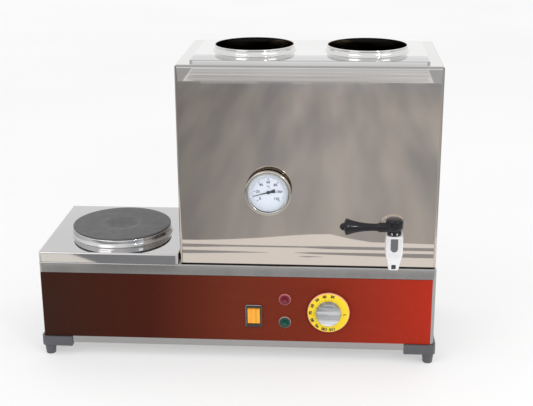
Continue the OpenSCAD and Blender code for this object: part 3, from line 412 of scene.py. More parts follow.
class NodeDesk:
    """Lays out the nodes of one material."""

    def __init__(self, name: str) -> None:
        """Starts an empty material with its shader.

        Args:
            name: Name of the material.
        """
        self.material = bpy.data.materials.new(name)
        self.material.use_nodes = True
        self.tree = self.material.node_tree
        self.shader = self.tree.nodes["Principled BSDF"]

    def add(self, kind: str, **settings: object) -> bpy.types.Node:
        """Adds a node with its settings."""
        node = self.tree.nodes.new(kind)
        for key, value in settings.items():
            setattr(node, key, value)
        return node

    def link(self, source: Socket, target: Socket) -> None:
        """Links two sockets."""
        self.tree.links.new(source, target)

    def set(self, **values: object) -> None:
        """Sets sockets of the shader by name, with _ for a space."""
        for key, value in values.items():
            self.shader.inputs[key.replace("_", " ")].default_value = value

    def place(self, scale: Triple = (1, 1, 1), origin: Sequence[float] = (0, 0, 0)) -> Socket:
        """Object coordinates in metres, moved so that origin (in millimetres) is zero, then scaled."""
        coordinates = self.add("ShaderNodeTexCoord")
        shift = self.add("ShaderNodeMapping", vector_type="POINT")
        shift.inputs["Location"].default_value = [-o * MM * s for o, s in zip(origin, scale)]
        shift.inputs["Scale"].default_value = scale
        self.link(coordinates.outputs["Object"], shift.inputs["Vector"])
        return shift.outputs["Vector"]

    def noise(self, scale: float, detail: float = 2.0, rough: float = 0.5,
              stretch: Triple = (1, 1, 1)) -> Socket:
        """Noise in object space, from 0 to 1.

        Args:
            scale: Grains per metre.
            detail: Number of finer layers.
            rough: Strength of the finer layers.
            stretch: Extra scale along X, Y and Z.

        Returns:
            The noise's value.
        """
        node = self.add("ShaderNodeTexNoise")
        node.inputs["Scale"].default_value = scale
        node.inputs["Detail"].default_value = detail
        node.inputs["Roughness"].default_value = rough
        self.link(self.place(stretch), node.inputs["Vector"])
        return node.outputs["Fac"]

    def remap(self, value: Socket, low: float, high: float, start: float = 0.3,
              end: float = 0.7) -> Socket:
        """Maps a value from start..end to low..high."""
        node = self.add("ShaderNodeMapRange")
        for key, number in (("From Min", start), ("From Max", end), ("To Min", low), ("To Max", high)):
            node.inputs[key].default_value = number
        self.link(value, node.inputs["Value"])
        return node.outputs["Result"]

    def ramp(self, value: Socket, stops: Stops) -> Socket:
        """Colours a value along stops of (place, colour)."""
        node = self.add("ShaderNodeValToRGB")
        stripe = node.color_ramp.elements
        while len(stripe) < len(stops):
            stripe.new(0.5)
        for element, (spot, colour) in zip(stripe, stops):
            element.position = spot
            element.color = (*colour, 1)
        self.link(value, node.inputs["Fac"])
        return node.outputs["Color"]

    def blend(self, share: Socket, first: Socket, second: Colour) -> Socket:
        """Goes from a colour to a second, plain one by a share from 0 to 1."""
        mix = self.add("ShaderNodeMix", data_type="RGBA")
        self.link(share, mix.inputs["Factor"])
        self.link(first, mix.inputs["A"])
        mix.inputs["B"].default_value = (*second, 1)
        return mix.outputs["Result"]

    def multiply(self, first: Socket, second: Socket) -> Socket:
        """Multiplies two colours."""
        mix = self.add("ShaderNodeMix", data_type="RGBA", blend_type="MULTIPLY")
        mix.inputs["Factor"].default_value = 1.0
        self.link(first, mix.inputs["A"])
        self.link(second, mix.inputs["B"])
        return mix.outputs["Result"]

    def bands(self, along: str, stops: Stops) -> Socket:
        """Colours by place along X, Y or Z, with stops of (millimetres, colour)."""
        split = self.add("ShaderNodeSeparateXYZ")
        self.link(self.place(), split.inputs["Vector"])
        first, length = stops[0][0], stops[-1][0] - stops[0][0]
        share = self.remap(split.outputs[along], 0.0, 1.0, first * MM, (first + length) * MM)
        return self.ramp(share, [((spot - first) / length, colour) for spot, colour in stops])

    def radius(self, centre: Point, upright: bool) -> Socket:
        """Distance from an axis in millimetres.

        Args:
            centre: Where the axis passes: X and Y of an upright one, X and Z of one that points forward.
            upright: Whether the axis is upright.

        Returns:
            The distance.
        """
        distance = self.add("ShaderNodeVectorMath", operation="LENGTH")
        scale = (1000.0, 1000.0, 0.0) if upright else (1000.0, 0.0, 1000.0)
        origin = (*centre, 0) if upright else (centre[0], 0, centre[1])
        self.link(self.place(scale, origin), distance.inputs[0])
        return distance.outputs["Value"]

    def bump(self, height: Socket, depth: float, below: Socket | None = None) -> Socket:
        """Raises the surface by a height map, depth in millimetres, over a bump below it."""
        node = self.add("ShaderNodeBump")
        node.inputs["Strength"].default_value = 1.0
        node.inputs["Distance"].default_value = depth * MM
        self.link(height, node.inputs["Height"])
        if below is not None:
            self.link(below, node.inputs["Normal"])
        return node.outputs["Normal"]

    def colour(self, socket: Socket) -> None:
        """Gives the shader its colour."""
        self.link(socket, self.shader.inputs["Base Color"])

    def roughness(self, socket: Socket) -> None:
        """Gives the shader its roughness."""
        self.link(socket, self.shader.inputs["Roughness"])

    def normal(self, socket: Socket) -> None:
        """Gives the shader its normal."""
        self.link(socket, self.shader.inputs["Normal"])


_made: dict[str, bpy.types.Material] = {}


@dataclass(frozen=True)
class Finish:
    """A finish, made into a material the first time it is asked for."""

    name: str

    def material(self) -> bpy.types.Material:
        """The finish's material."""
        if self.name not in _made:
            desk = NodeDesk(self.name)
            self.lay(desk)
            _made[self.name] = desk.material
        return _made[self.name]

    def lay(self, desk: NodeDesk) -> None:
        """Lays out the finish's nodes."""
        raise NotImplementedError


@dataclass(frozen=True)
class Steel(Finish):
    """Sheet or turned steel with a rolling grain, wipe marks, a slight wave and, where given, bands of
    painted reflection.

    Attributes:
        tint: Colour of the metal.
        rough: Roughness where it is cleanest.
        spread: Roughness that the wipe marks add.
        grain: Scale of the rolling grain along X, Y and Z.
        grain_depth: Depth of the grain in millimetres.
        wave: Depth of the slow wave in millimetres.
        wave_scale: Waves per metre.
        metal: Share of metal in the shader.
        bands_along: Axis along which the bands of painted reflection change the tint.
        bands: Stops of (millimetres, factor on the tint) that paint reflections and highlights by place.
    """

    tint: Colour = (0.64, 0.60, 0.56)
    rough: float = 0.12
    spread: float = 0.06
    grain: Triple = (2.0, 2.0, 160.0)
    grain_depth: float = 0.0008
    wave: float = 0.25
    wave_scale: float = 5.0
    metal: float = 1.0
    bands_along: str = "Z"
    bands: tuple[tuple[float, Colour], ...] = ()

    def lay(self, desk: NodeDesk) -> None:
        """Lays metal, grain and wave, with its bands of painted reflection by place in millimetres."""
        desk.set(Metallic=self.metal)
        patches = desk.noise(3.5, 3.0, 0.55, (1.4, 1.4, 0.6))
        tint = Vector(self.tint)
        tone = desk.ramp(patches, [(0.25, tuple(tint * 0.95)), (0.75, tuple(tint * 1.04))])
        # The bands are painted reflections and highlights, multiplied onto the tint by place.
        if self.bands:
            tone = desk.multiply(tone, desk.bands(self.bands_along, self.bands))
        desk.colour(tone)
        wipes = desk.noise(9.0, 4.0, 0.6, (3.0, 3.0, 0.8))
        desk.roughness(desk.remap(wipes, self.rough, self.rough + self.spread))
        wave = desk.bump(desk.noise(self.wave_scale, 1.0, 0.4, (1.0, 1.0, 0.55)), self.wave)
        desk.normal(desk.bump(desk.noise(10.0, 2.0, 0.6, self.grain), self.grain_depth, wave))


@dataclass(frozen=True)
class CastIron(Finish):
    """Coated cast iron with turned rings, painted shade in its hollow and a painted highlight ring round it.

    Attributes:
        centre: Axis of the plate as X and Y.
        tint: Colour of the coating.
        burnt: Radii between which the painted shade of the hollow fades out.
        pale: Radii between which the painted highlight ring round the hollow fades in.
        even: Radii between which the plain tint takes over.
    """

    centre: Point = (0.0, 0.0)
    tint: Colour = (0.118, 0.115, 0.119)
    burnt: Point = (20.0, 31.0)
    pale: Point = (26.0, 31.0)
    even: Point = (32.0, 44.0)

    def lay(self, desk: NodeDesk) -> None:
        """Lays coating, rings and grit, with painted shade in the hollow and a painted highlight ring round
        it.
        """
        desk.set(Metallic=0.35, Specular_IOR_Level=0.45)
        rings = desk.add("ShaderNodeTexWave", wave_type="RINGS", rings_direction="Z", wave_profile="TRI")
        rings.inputs["Scale"].default_value = 190.0
        rings.inputs["Distortion"].default_value = 0.25
        rings.inputs["Detail"].default_value = 1.0
        desk.link(desk.place(origin=(*self.centre, 0)), rings.inputs["Vector"])
        tint = Vector(self.tint)
        tone = desk.ramp(desk.noise(22.0, 5.0, 0.6), [(0.3, tuple(tint * 0.86)), (0.7, tuple(tint * 1.12))])
        away = desk.radius(self.centre, True)
        # Painted shade darkens the hollow; a painted highlight ring lightens its edge.
        tone = desk.blend(desk.remap(away, 0.55, 0.0, *self.burnt), tone, tuple(tint * 0.72))
        tone = desk.blend(desk.remap(away, 0.0, 0.45, *self.pale), tone, tuple(tint * 1.35))
        desk.colour(desk.blend(desk.remap(away, 0.0, 1.0, *self.even), tone, tuple(tint)))
        desk.roughness(desk.remap(desk.noise(60.0, 3.0), 0.48, 0.62))
        grit = desk.bump(desk.noise(1400.0, 3.0, 0.6), 0.03)
        desk.normal(desk.bump(rings.outputs["Fac"], 0.018, grit))


@dataclass(frozen=True)
class FadedPanel(Finish):
    """Panel whose print fades from dark brown on the left to red on the right."""

    left: float = -350.0
    width: float = 700.0
    stops: tuple[tuple[float, Colour], ...] = (
        (0.00, (0.036, 0.013, 0.008)), (0.28, (0.058, 0.010, 0.005)), (0.50, (0.140, 0.024, 0.011)),
        (0.68, (0.185, 0.025, 0.011)), (0.85, (0.300, 0.026, 0.012)), (1.00, (0.415, 0.026, 0.012)))

    def lay(self, desk: NodeDesk) -> None:
        """Lays the fading print with a fine mottle."""
        split = desk.add("ShaderNodeSeparateXYZ")
        desk.link(desk.place((1000.0 / self.width, 1, 1), (self.left, 0, 0)), split.inputs["Vector"])
        fade = desk.ramp(split.outputs["X"], self.stops)
        mottle = desk.ramp(desk.noise(900.0, 2.0), [(0.3, grey(0.86)), (0.7, grey(1.1))])
        desk.colour(desk.multiply(fade, mottle))
        desk.set(Specular_IOR_Level=0.06)
        desk.roughness(desk.remap(desk.noise(30.0, 3.0), 0.45, 0.55))
        desk.normal(desk.bump(desk.noise(700.0, 2.0), 0.004))


@dataclass(frozen=True)
class Moulded(Finish):
    """Moulded plastic, rubber or ceramic with a fine grain.

    Attributes:
        tint: Colour of the material.
        rough: Roughness where it is cleanest.
        grain: Grains per metre.
        depth: Depth of the grain in millimetres.
        mottle: Share by which the tint varies.
        glow: Strength of a painted glow, light that the material gives off though it is no lamp.
        clear: Share of light that passes through.
        gloss: Strength of its reflections.
        stretch: Extra scale of the mottle along X, Y and Z.
    """

    tint: Colour = (0.05, 0.05, 0.05)
    rough: float = 0.4
    grain: float = 900.0
    depth: float = 0.01
    mottle: float = 0.06
    glow: float = 0.0
    clear: float = 0.0
    gloss: float = 0.5
    stretch: Triple = (1.0, 1.0, 1.0)

    def lay(self, desk: NodeDesk) -> None:
        """Lays colour, sheen and grain."""
        tint = Vector(self.tint)
        desk.colour(desk.ramp(desk.noise(45.0, 3.0, 0.5, self.stretch), [
            (0.3, tuple(tint * (1 - self.mottle))), (0.7, tuple(tint * (1 + self.mottle)))]))
        desk.roughness(desk.remap(desk.noise(80.0, 2.0), self.rough, self.rough + 0.08))
        desk.normal(desk.bump(desk.noise(self.grain, 2.0), self.depth))
        desk.set(Transmission_Weight=self.clear, Specular_IOR_Level=self.gloss)
        # Painted glow.
        if self.glow:
            desk.set(Emission_Color=(*self.tint, 1), Emission_Strength=self.glow)


@dataclass(frozen=True)
class RimmedDisc(Finish):
    """Moulded disc whose sloping edge has a second colour; on the lamp rims that colour is a painted
    highlight.
    """

    centre: Point = (0.0, 0.0)
    radius: float = 37.0
    face: Colour = (0.88, 0.65, 0.022)
    edge: Colour = (0.88, 0.42, 0.24)

    def lay(self, desk: NodeDesk) -> None:
        """Lays the two colours by distance from the middle."""
        ring = desk.remap(desk.radius(self.centre, False), 0.0, 1.0, self.radius - 1.6, self.radius - 1.0)
        tone = Vector(self.face)
        face = desk.ramp(desk.noise(40.0, 3.0), [(0.3, tuple(tone * 0.96)), (0.7, tuple(tone * 1.05))])
        desk.colour(desk.blend(ring, face, self.edge))
        desk.set(Specular_IOR_Level=0.3)
        desk.roughness(desk.remap(desk.noise(90.0, 2.0), 0.30, 0.40))
        desk.normal(desk.bump(desk.noise(1100.0, 2.0), 0.004))


@dataclass(frozen=True)
class StreakedChrome(Finish):
    """Bright chrome with painted reflections: level streaks under a painted slope of tone, light at the
    bottom and darker towards the top.
    """

    centre_z: float = 0.0
    half: float = 22.5
    slope: tuple[tuple[float, Colour], ...] = (
        (-1.0, grey(1.55)), (-0.62, (1.50, 1.52, 1.52)), (-0.42, (0.74, 0.75, 0.77)),
        (-0.1, (0.78, 0.79, 0.80)), (0.25, (0.86, 0.87, 0.88)), (0.55, (0.60, 0.61, 0.62)),
        (1.0, (0.52, 0.52, 0.54)))

    def lay(self, desk: NodeDesk) -> None:
        """Lays painted reflection streaks under a painted slope of tone."""
        # Painted reflections: level streaks and a slope of tone by height.
        streaks = desk.ramp(desk.noise(1.0, 2.0, 0.55, (14.0, 1.0, 210.0)), [
            (0.36, (0.30, 0.30, 0.31)), (0.50, (0.46, 0.46, 0.47)), (0.62, (0.62, 0.62, 0.63))])
        spots = [(self.centre_z + self.half * share, tone) for share, tone in self.slope]
        slope = desk.bands("Z", spots)
        desk.colour(desk.multiply(streaks, slope))
        desk.set(Metallic=0.25, Specular_IOR_Level=0.3)
        desk.roughness(desk.remap(desk.noise(40.0, 2.0), 0.22, 0.30))
        desk.normal(desk.bump(desk.noise(10.0, 2.0, 0.6, (2.0, 2.0, 90.0)), 0.001))


@dataclass(frozen=True)
class CollarSteel(Finish):
    """Drawn steel, bright outside; inside its bore painted near-black shade with a painted tan reflection low
    on one side.
    """

    centre: Point = (0.0, 0.0)
    bore: float = 68.3
    side: float = 1.0
    top: float = 547.0
    stain_across: float = 16.0
    stain_down: float = -30.0
    outside: Colour = (0.70, 0.695, 0.69)
    # Bore tones: painted near-black shade and a painted tan reflection.
    inside: tuple[Colour, Colour] = ((0.012, 0.010, 0.010), (0.34, 0.25, 0.16))

    def lay(self, desk: NodeDesk) -> None:
        """Lays both tones, split by the distance from the axis, with the painted tan reflection below a
        slanting line and painted shade above it.
        """
        desk.set(Metallic=1.0)
        # Painted reflection and shade inside the bore: tan low on one side, near black above.
        lean = desk.add("ShaderNodeVectorMath", operation="DOT_PRODUCT")
        lean.inputs[1].default_value = (self.side * self.stain_across, 0.0, self.stain_down)
        desk.link(desk.place(origin=(*self.centre, self.top)), lean.inputs[0])
        tan_reflection = desk.ramp(desk.remap(lean.outputs["Value"], 0.0, 1.0, 0.55, 1.15), [
            (0.0, self.inside[0]), (0.45, tuple(Vector(self.inside[1]) * 0.35)), (1.0, self.inside[1])])
        wall = desk.remap(desk.radius(self.centre, True), 0.0, 1.0, self.bore + 0.3, self.bore + 0.6)
        desk.colour(desk.blend(wall, tan_reflection, self.outside))
        desk.roughness(desk.remap(desk.noise(30.0, 3.0), 0.10, 0.17))
        desk.normal(desk.bump(desk.noise(10.0, 2.0, 0.6, (2.0, 2.0, 260.0)), 0.0015))


@dataclass(frozen=True)
class Pane(Finish):
    """Clear window glass, thin enough to see the dial through."""

    def lay(self, desk: NodeDesk) -> None:
        """Lays a nearly clear, glossy pane."""
        desk.set(Roughness=0.03, Alpha=0.06, IOR=1.5, Base_Color=(0.3, 0.34, 0.4, 1))
        desk.normal(desk.bump(desk.noise(40.0, 1.0), 0.002))


@dataclass(frozen=True)
class Wool(Finish):
    """Mineral wool: pale fibres that lie in all directions."""

    def lay(self, desk: NodeDesk) -> None:
        """Lays matted fibres."""
        fibres = desk.noise(300.0, 5.0, 0.7, (0.3, 1.0, 1.0))
        desk.colour(desk.ramp(fibres, [(0.3, (0.45, 0.38, 0.2)), (0.7, (0.75, 0.68, 0.42))]))
        desk.set(Roughness=0.95, Sheen_Weight=0.3)
        desk.normal(desk.bump(fibres, 0.6))


# Tank steel: its bands near the top paint bluish highlights and a dark reflected line along the top edge.
TANK_STEEL = Steel(
    "polished tank steel", (0.605, 0.540, 0.483), 0.012, 0.012, grain_depth=0.00008, wave=0.04,
    bands=((480.0, grey(1)), (505.0, (1.0, 1.06, 1.13)), (529.0, (1.04, 1.15, 1.28)),
           (529.8, (0.60, 0.66, 0.73)), (532.5, (0.60, 0.66, 0.73)), (532.9, (1.22, 1.36, 1.5)),
           (534.0, (1.22, 1.36, 1.5))))
# Cover steel: its bands across the depth paint dark and light reflection stripes near the front.
COVER_STEEL = Steel(
    "polished cover steel", (0.82, 0.815, 0.81), 0.03, 0.03, grain_depth=0.0002, wave=0.05, bands_along="Y",
    bands=((-90.0, grey(0.92)), (-86.9, grey(0.92)), (-86.2, (0.56, 0.56, 0.57)), (-79.0, (0.60, 0.60, 0.61)),
           (-72.0, grey(0.74)), (-66.0, (0.56, 0.56, 0.57)), (-59.0, grey(0.70)), (-52.0, (0.62, 0.62, 0.63)),
           (-46.0, (0.76, 0.76, 0.77)), (-38.0, (0.70, 0.70, 0.71)), (-28.0, grey(1)), (0.0, grey(1))))
TRAY_STEEL = Steel("polished tray steel", (0.55, 0.54, 0.54), 0.03, 0.02, grain_depth=0.0002, wave=0.04)
CABINET_STEEL = Steel(
    "satin cabinet steel", (0.385, 0.38, 0.375), 0.09, 0.05, (160.0, 160.0, 2.0), 0.001, 0.05)
INNER_STEEL = Steel("plain rolled steel", (0.42, 0.41, 0.40), 0.28, 0.10, (90.0, 90.0, 2.0), 0.002, 0.1)
# Vessel steel is painted near black: painted shade inside the tank.
VESSEL_STEEL = Steel("vessel steel darkened by painted shade", (0.06, 0.045, 0.035), 0.35, 0.15, (90.0, 90.0, 2.0), 0.002, 0.1)
# Rim steel: its bands along X paint reflections and shade, darkest on the plate's right side.
RIM_STEEL = Steel(
    "bright rim steel", (0.68, 0.675, 0.68), 0.07, 0.05, (2.0, 2.0, 200.0), 0.0006, 0.05, bands_along="X",
    bands=((-330.0, grey(0.80)), (-300.0, (0.74, 0.74, 0.75)), (-262.0, grey(1)), (-205.0, grey(0.92)),
           (-185.0, (0.62, 0.64, 0.66)), (-165.0, (0.80, 0.83, 0.86)), (-150.0, (0.52, 0.55, 0.57)),
           (-118.0, (0.60, 0.63, 0.66))))
GAUGE_STEEL = Steel("polished gauge steel", (0.52, 0.50, 0.455), 0.10, 0.06, (50.0, 50.0, 50.0), 0.0006, 0.02)
# Painted shade for the tap's hollows: streaked grey on the tongue's floor, near black on its walls and the
# window's back.
TAP_SHADE = Steel("shaded chrome", (0.30, 0.30, 0.31), 0.12, 0.05, (260.0, 2.0, 2.0), 0.004, 0.02)
TAP_WALL_SHADE = Steel("chrome darkened by painted wall shade", (0.10, 0.10, 0.11), 0.15, 0.05, (40.0, 40.0, 40.0), 0.0004, 0.02)
TAP_CHROME = Steel(
    "cast tap chrome", (0.79, 0.79, 0.80), 0.16, 0.08, (160.0, 160.0, 160.0), 0.003, 0.02, metal=0.4)
SCREW_STEEL = Steel("screw steel", (0.60, 0.60, 0.61), 0.25, 0.10, (120.0, 120.0, 120.0), 0.002, 0.02)
HEATER_STEEL = Steel("dull heater steel", (0.30, 0.29, 0.28), 0.38, 0.12, (200.0, 200.0, 200.0), 0.004, 0.02)
BRASS = Steel("turned brass", (0.78, 0.55, 0.24), 0.22, 0.10, (120.0, 120.0, 120.0), 0.001, 0.02)
FOOT_PLASTIC = Moulded("grey foot plastic", (0.085, 0.085, 0.095), 0.42, 700.0, 0.02)
BLACK_PLASTIC = Moulded("black plastic", (0.022, 0.022, 0.025), 0.32, 900.0, 0.008)
HANDLE_PLASTIC = Moulded("glossy handle plastic", (0.010, 0.010, 0.013), 0.14, 300.0, 0.004, gloss=0.28)
RUBBER = Moulded("gasket rubber", (0.03, 0.03, 0.03), 0.6, 800.0, 0.02)
CERAMIC = Moulded("unglazed ceramic", (0.78, 0.75, 0.67), 0.55, 900.0, 0.02)
# The amber rocker gets a faint painted glow of 0.06 that lightens it.
AMBER = Moulded(
    "amber rocker plastic", (0.86, 0.36, 0.022), 0.25, 250.0, 0.01, 0.22, 0.06, stretch=(5.0, 1.0, 0.4))
LENS_RED = Moulded("red lens", (0.20, 0.012, 0.03), 0.10, 300.0, 0.003, 0.05, 0.0, 0.1)
LENS_GREEN = Moulded("green lens", (0.004, 0.075, 0.05), 0.10, 300.0, 0.003, 0.05, 0.0, 0.1)
DIAL_WHITE = Moulded("dial enamel", (0.84, 0.90, 1.0), 0.35, 900.0, 0.003, 0.02)
DIAL_INK = Moulded("dial ink", (0.02, 0.02, 0.03), 0.5, 900.0, 0.002)
DISC_INK = Moulded("disc ink", (0.02, 0.02, 0.015), 0.5, 900.0, 0.002)
NEEDLE_PAINT = Moulded("needle paint", (0.012, 0.012, 0.02), 0.4, 900.0, 0.002)
GLASS = Pane("gauge glass")
WOOL = Wool("mineral wool")


# Sub-assemblies


@dataclass
class SubAssembly:
    """Pieces that are made and dressed together."""

    body: str = "urn"
    made: list[Piece] = field(default_factory=list)

    def keep(self, piece: Piece, finish: Finish, slot: str, *nodes: str, body: str | None = None,
             angle: float = 32.0) -> Piece:
        """Shades and dresses a finished piece and hangs it on its body.

        Args:
            piece: The finished piece.
            finish: Its finish, unless it already has its own.
            slot: The record's material slot; not used.
            nodes: CAD nodes that it stands for.
            body: The body that carries it, if not the sub-assembly's own.
            angle: Edges sharper than this stay sharp.

        Returns:
            The piece.
        """
        smooth(piece, angle)
        if not piece.data.materials:
            piece.data.materials.append(finish.material())
        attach(piece, body or self.body)
        if nodes:
            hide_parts(*nodes)
        self.made.append(piece)
        LOG.info("%s: %s, %d faces", type(self).__name__, piece.name, len(piece.data.polygons))
        return piece

    def dress(self, finish: Finish, *nodes: str) -> None:
        """Gives CAD nodes that stay as they are a finish."""
        for node in nodes:
            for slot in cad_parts[node].material_slots:
                slot.material = finish.material()

    def build(self) -> None:
        """Makes and dresses all pieces."""
        raise NotImplementedError


@dataclass
class CrossScrews(SubAssembly):
    """Rows of pan-head screws with a cross recess, modelled once and copied."""

    head: float = 3.8
    shank: float = 1.9
    screw_turn: float = 17.0

    def one(self) -> Piece:
        """Models a screw that points up from its seat at zero height."""
        r = self.head
        dome = [(0, -0.62 * r), (0.45 * r, -0.58 * r), (0.8 * r, -0.42 * r), (0.97 * r, -0.15 * r), (r, 0)]
        stem = [(self.shank, 0), (self.shank, 7), (0.6, 8), (0, 8)]
        screw = turned("screw", dome + stem, (0, 0, 0), sides=24)
        arm, width, depth = 0.62 * r, 0.13 * r, 0.34 * r
        bars = [block("slot", (-arm, -width, -r), (arm, width, -0.62 * r + depth)),
                block("slot", (-width, -arm, -r), (width, arm, -0.62 * r + depth))]
        return carve(screw, *bars)

    def rows(self, name: str, spots: Sequence[Vector], axis: Axis) -> Piece:
        """Sets copies of the screw at their spots.

        Args:
            name: Name of the joined piece.
            spots: Seats of the heads.
            axis: Direction in which the heads point.

        Returns:
            The screws as one piece.
        """
        pattern = self.one()
        copies = []
        for i, spot in enumerate(spots):
            screw = twin(pattern, f"{name}_{i}")
            screw.matrix_world = Matrix.Rotation(math.pi, 4, "X")
            copies.append(place(settle(screw), spot, axis, self.screw_turn * i))
        bpy.data.objects.remove(pattern)
        return join(name, copies)

    def build(self) -> None:
        """Makes the screws of the service cover and the back panel."""
        covers = {"service_cover_screws": "base_service_cover", "back_panel_screws": "tank_back_panel"}
        for node, cover in covers.items():
            low, high = span(node)
            seat = span(cover)[1].y
            r = 2 * self.shank
            xs = [low.x + r, (low.x + high.x) / 2, high.x - r]
            zs = [low.z + r, high.z - r]
            spots = [Vector((x, seat, z)) for x in xs for z in zs]
            if node == "back_panel_screws":
                spots += [Vector((x, seat, (zs[0] + zs[1]) / 2)) for x in (xs[0], xs[-1])]
            screws = self.rows(node + "_crossed", spots, Axis.BACK)
            self.keep(screws, SCREW_STEEL, "fastener_steel", node)
        self.dress(SCREW_STEEL, "foot_screws", "tank_bolts", "thermostat_screws")


@dataclass
class BaseCabinet(SubAssembly):
    """Low cabinet with its faded front panel, four feet and rear service cover.

    Attributes:
        panel_edge: Width of the panel's broken edges.
        panel_short: How far the panel ends before the right end of its solid.
        switch_lap: How far the switch frame covers the panel round its hole.
        lamp_hole: Radius of the holes for the lamps.
        shaft_hole: Radius of the hole for the thermostat's shaft.
        foot_leg: Length of a foot along both walls.
        foot_wall: Thickness of a foot outside the walls.
        foot_sole: Thickness of a foot below the cabinet.
        foot_lip: Height of a foot up the walls.
        peg_in: Distance of the peg's axis from both walls.
        screw_spots: Places of the screw holes from the corner.
    """

    panel_edge: float = 0.5
    panel_short: float = 4.0
    switch_lap: float = 1.4
    lamp_hole: float = 8.8
    shaft_hole: float = 5.8
    foot_leg: float = 52.0
    foot_wall: float = 4.0
    foot_sole: float = 6.0
    foot_lip: float = 12.0
    peg_in: float = 8.6
    screw_spots: tuple[Point, ...] = ((36, 11), (11, 36))

    def panel(self) -> Piece:
        """Models the front panel with the holes of its controls and broken edges."""
        low, high = span("control_panel")
        plate = block("front_panel", low, (high.x - self.panel_short, high.y, high.z))
        switch_low, switch_high = span("switch_housing")
        lap = self.switch_lap
        cutters = [block("hole", (switch_low.x + lap, low.y - 5, switch_low.z + lap),
                         (switch_high.x - lap, high.y + 5, switch_high.z - lap))]
        holes = {"red_lamp_lens": self.lamp_hole, "green_lamp_lens": self.lamp_hole,
                 "thermostat_shaft": self.shaft_hole}
        for node, radius in holes.items():
            spot = middle(node)
            cutters.append(rod("hole", radius, -5, 5, (spot.x, low.y, spot.z), Axis.BACK))
        carve(plate, *cutters)
        return soften(plate, self.panel_edge)

    def foot(self) -> Piece:
        """Models the front left foot round its corner of the cabinet.

        Returns:
            The foot with the cabinet's corner at the origin.
        """
        floor = span("base_cabinet")[0].z
        sole = floor - self.foot_sole
        wall, leg = self.foot_wall, self.foot_leg
        foot = block("foot", (-wall, -wall, sole), (leg, leg, floor + self.foot_lip))
        round_edges(foot, 9, 8, lambda at, along: abs(along.z) > 0.9 and at.x < 0 and at.y < 0)
        room = block("room", (-0.3, -0.3, floor), (2 * leg, 2 * leg, floor + 40))
        round_edges(room, 5, 6, lambda at, along: abs(along.z) > 0.9 and at.x < 1 and at.y < 1)
        bite = rod("bite", leg - 20, sole - 5, floor + 40, (leg, leg, 0), sides=96)
        taper = [(0, 0), (7.7, 0), (8.5, 0.8), (10.5, sole - 0.4), (10.5, sole + 1), (0, sole + 1)]
        peg = turned("peg", taper, (self.peg_in, self.peg_in, 0), sides=48)
        carve(foot, room, bite)
        carve(foot, peg, operation="UNION")
        for x, y in self.screw_spots:
            carve(foot, rod("hole", 2.3, 0, floor + 1, (x, y, 0), sides=32),
                  rod("hole", 4.3, 0, sole + self.foot_sole / 2, (x, y, 0), sides=32))
        return soften(foot, 0.6, 2, 40)

    def feet(self) -> None:
        """Sets the foot at the four corners, turned over where needed."""
        low, high = span("base_cabinet")
        pattern = self.foot()
        for node, x, y, across, along in (
                ("foot_front_left", low.x, low.y, 1, 1), ("foot_front_right", high.x, low.y, -1, 1),
                ("foot_rear_left", low.x, high.y, 1, -1), ("foot_rear_right", high.x, high.y, -1, -1)):
            foot = twin(pattern, node + "_moulded")
            foot.scale = (across, along, 1)
            foot.location = (x * MM, y * MM, 0)
            outward(settle(foot))
            self.keep(foot, FOOT_PLASTIC, "foot_plastic", node, angle=40)
        bpy.data.objects.remove(pattern)

    def build(self) -> None:
        """Makes panel and feet and dresses the sheet work."""
        self.keep(self.panel(), FadedPanel("faded panel print"), "red_panel", "control_panel")
        self.feet()
        self.dress(CABINET_STEEL, "base_cabinet", "base_service_cover")
        self.dress(INNER_STEEL, "base_bottom_plate")
        self.dress(CERAMIC, "mains_terminal_block", "hotplate_terminals")


@dataclass
class CableGland(SubAssembly):
    """Gland in the service cover: hexagon, ribbed dome nut and lock nut."""

    ribs: int = 18

    def gland(self) -> Piece:
        """Models the gland with its bore."""
        low, high = span("cable_gland")
        centre = middle("cable_gland")
        seat = span("base_service_cover")[1].y
        r = (high.x - low.x) / 2
        spot = (centre.x, seat, centre.z)
        inside, outside = low.y - seat, high.y - seat
        body = rod("gland", r, 0, 5, spot, Axis.BACK, 6)
        soften(body, 0.7, 2)
        cap = [(0, 4.5), (r - 1.6, 4.5), (r - 1, 5.2), (r - 1, 11.4), (r - 1.5, 12.4), (r - 3.4, 15),
               (5.9, outside - 0.5), (5.5, outside), (0, outside)]
        dome = turned("dome", cap, spot, Axis.BACK, 72)
        for i in range(self.ribs):
            angle = 2 * math.pi * i / self.ribs
            at = (spot[0] + (r - 0.6) * math.cos(angle), spot[1], spot[2] + (r - 0.6) * math.sin(angle))
            carve(dome, rod("groove", 0.9, 5.6, 11.2, at, Axis.BACK, 12))
        turns = [(7.7 - 0.35 * (i % 2), inside + 0.6 + 0.5 * i) for i in range(19)]
        screwed = [(0, inside), (7.2, inside), *turns, (7.7, 0.5), (0, 0.5)]
        thread = turned("thread", screwed, spot, Axis.BACK, 40)
        carve(body, dome, thread, operation="UNION")
        return carve(body, rod("bore", 4.5, inside - 2, outside + 2, spot, Axis.BACK, 40))

    def build(self) -> None:
        """Makes the gland and dresses its nut."""
        self.keep(self.gland(), BLACK_PLASTIC, "black_plastic", "cable_gland")
        self.dress(BLACK_PLASTIC, "gland_lock_nut")


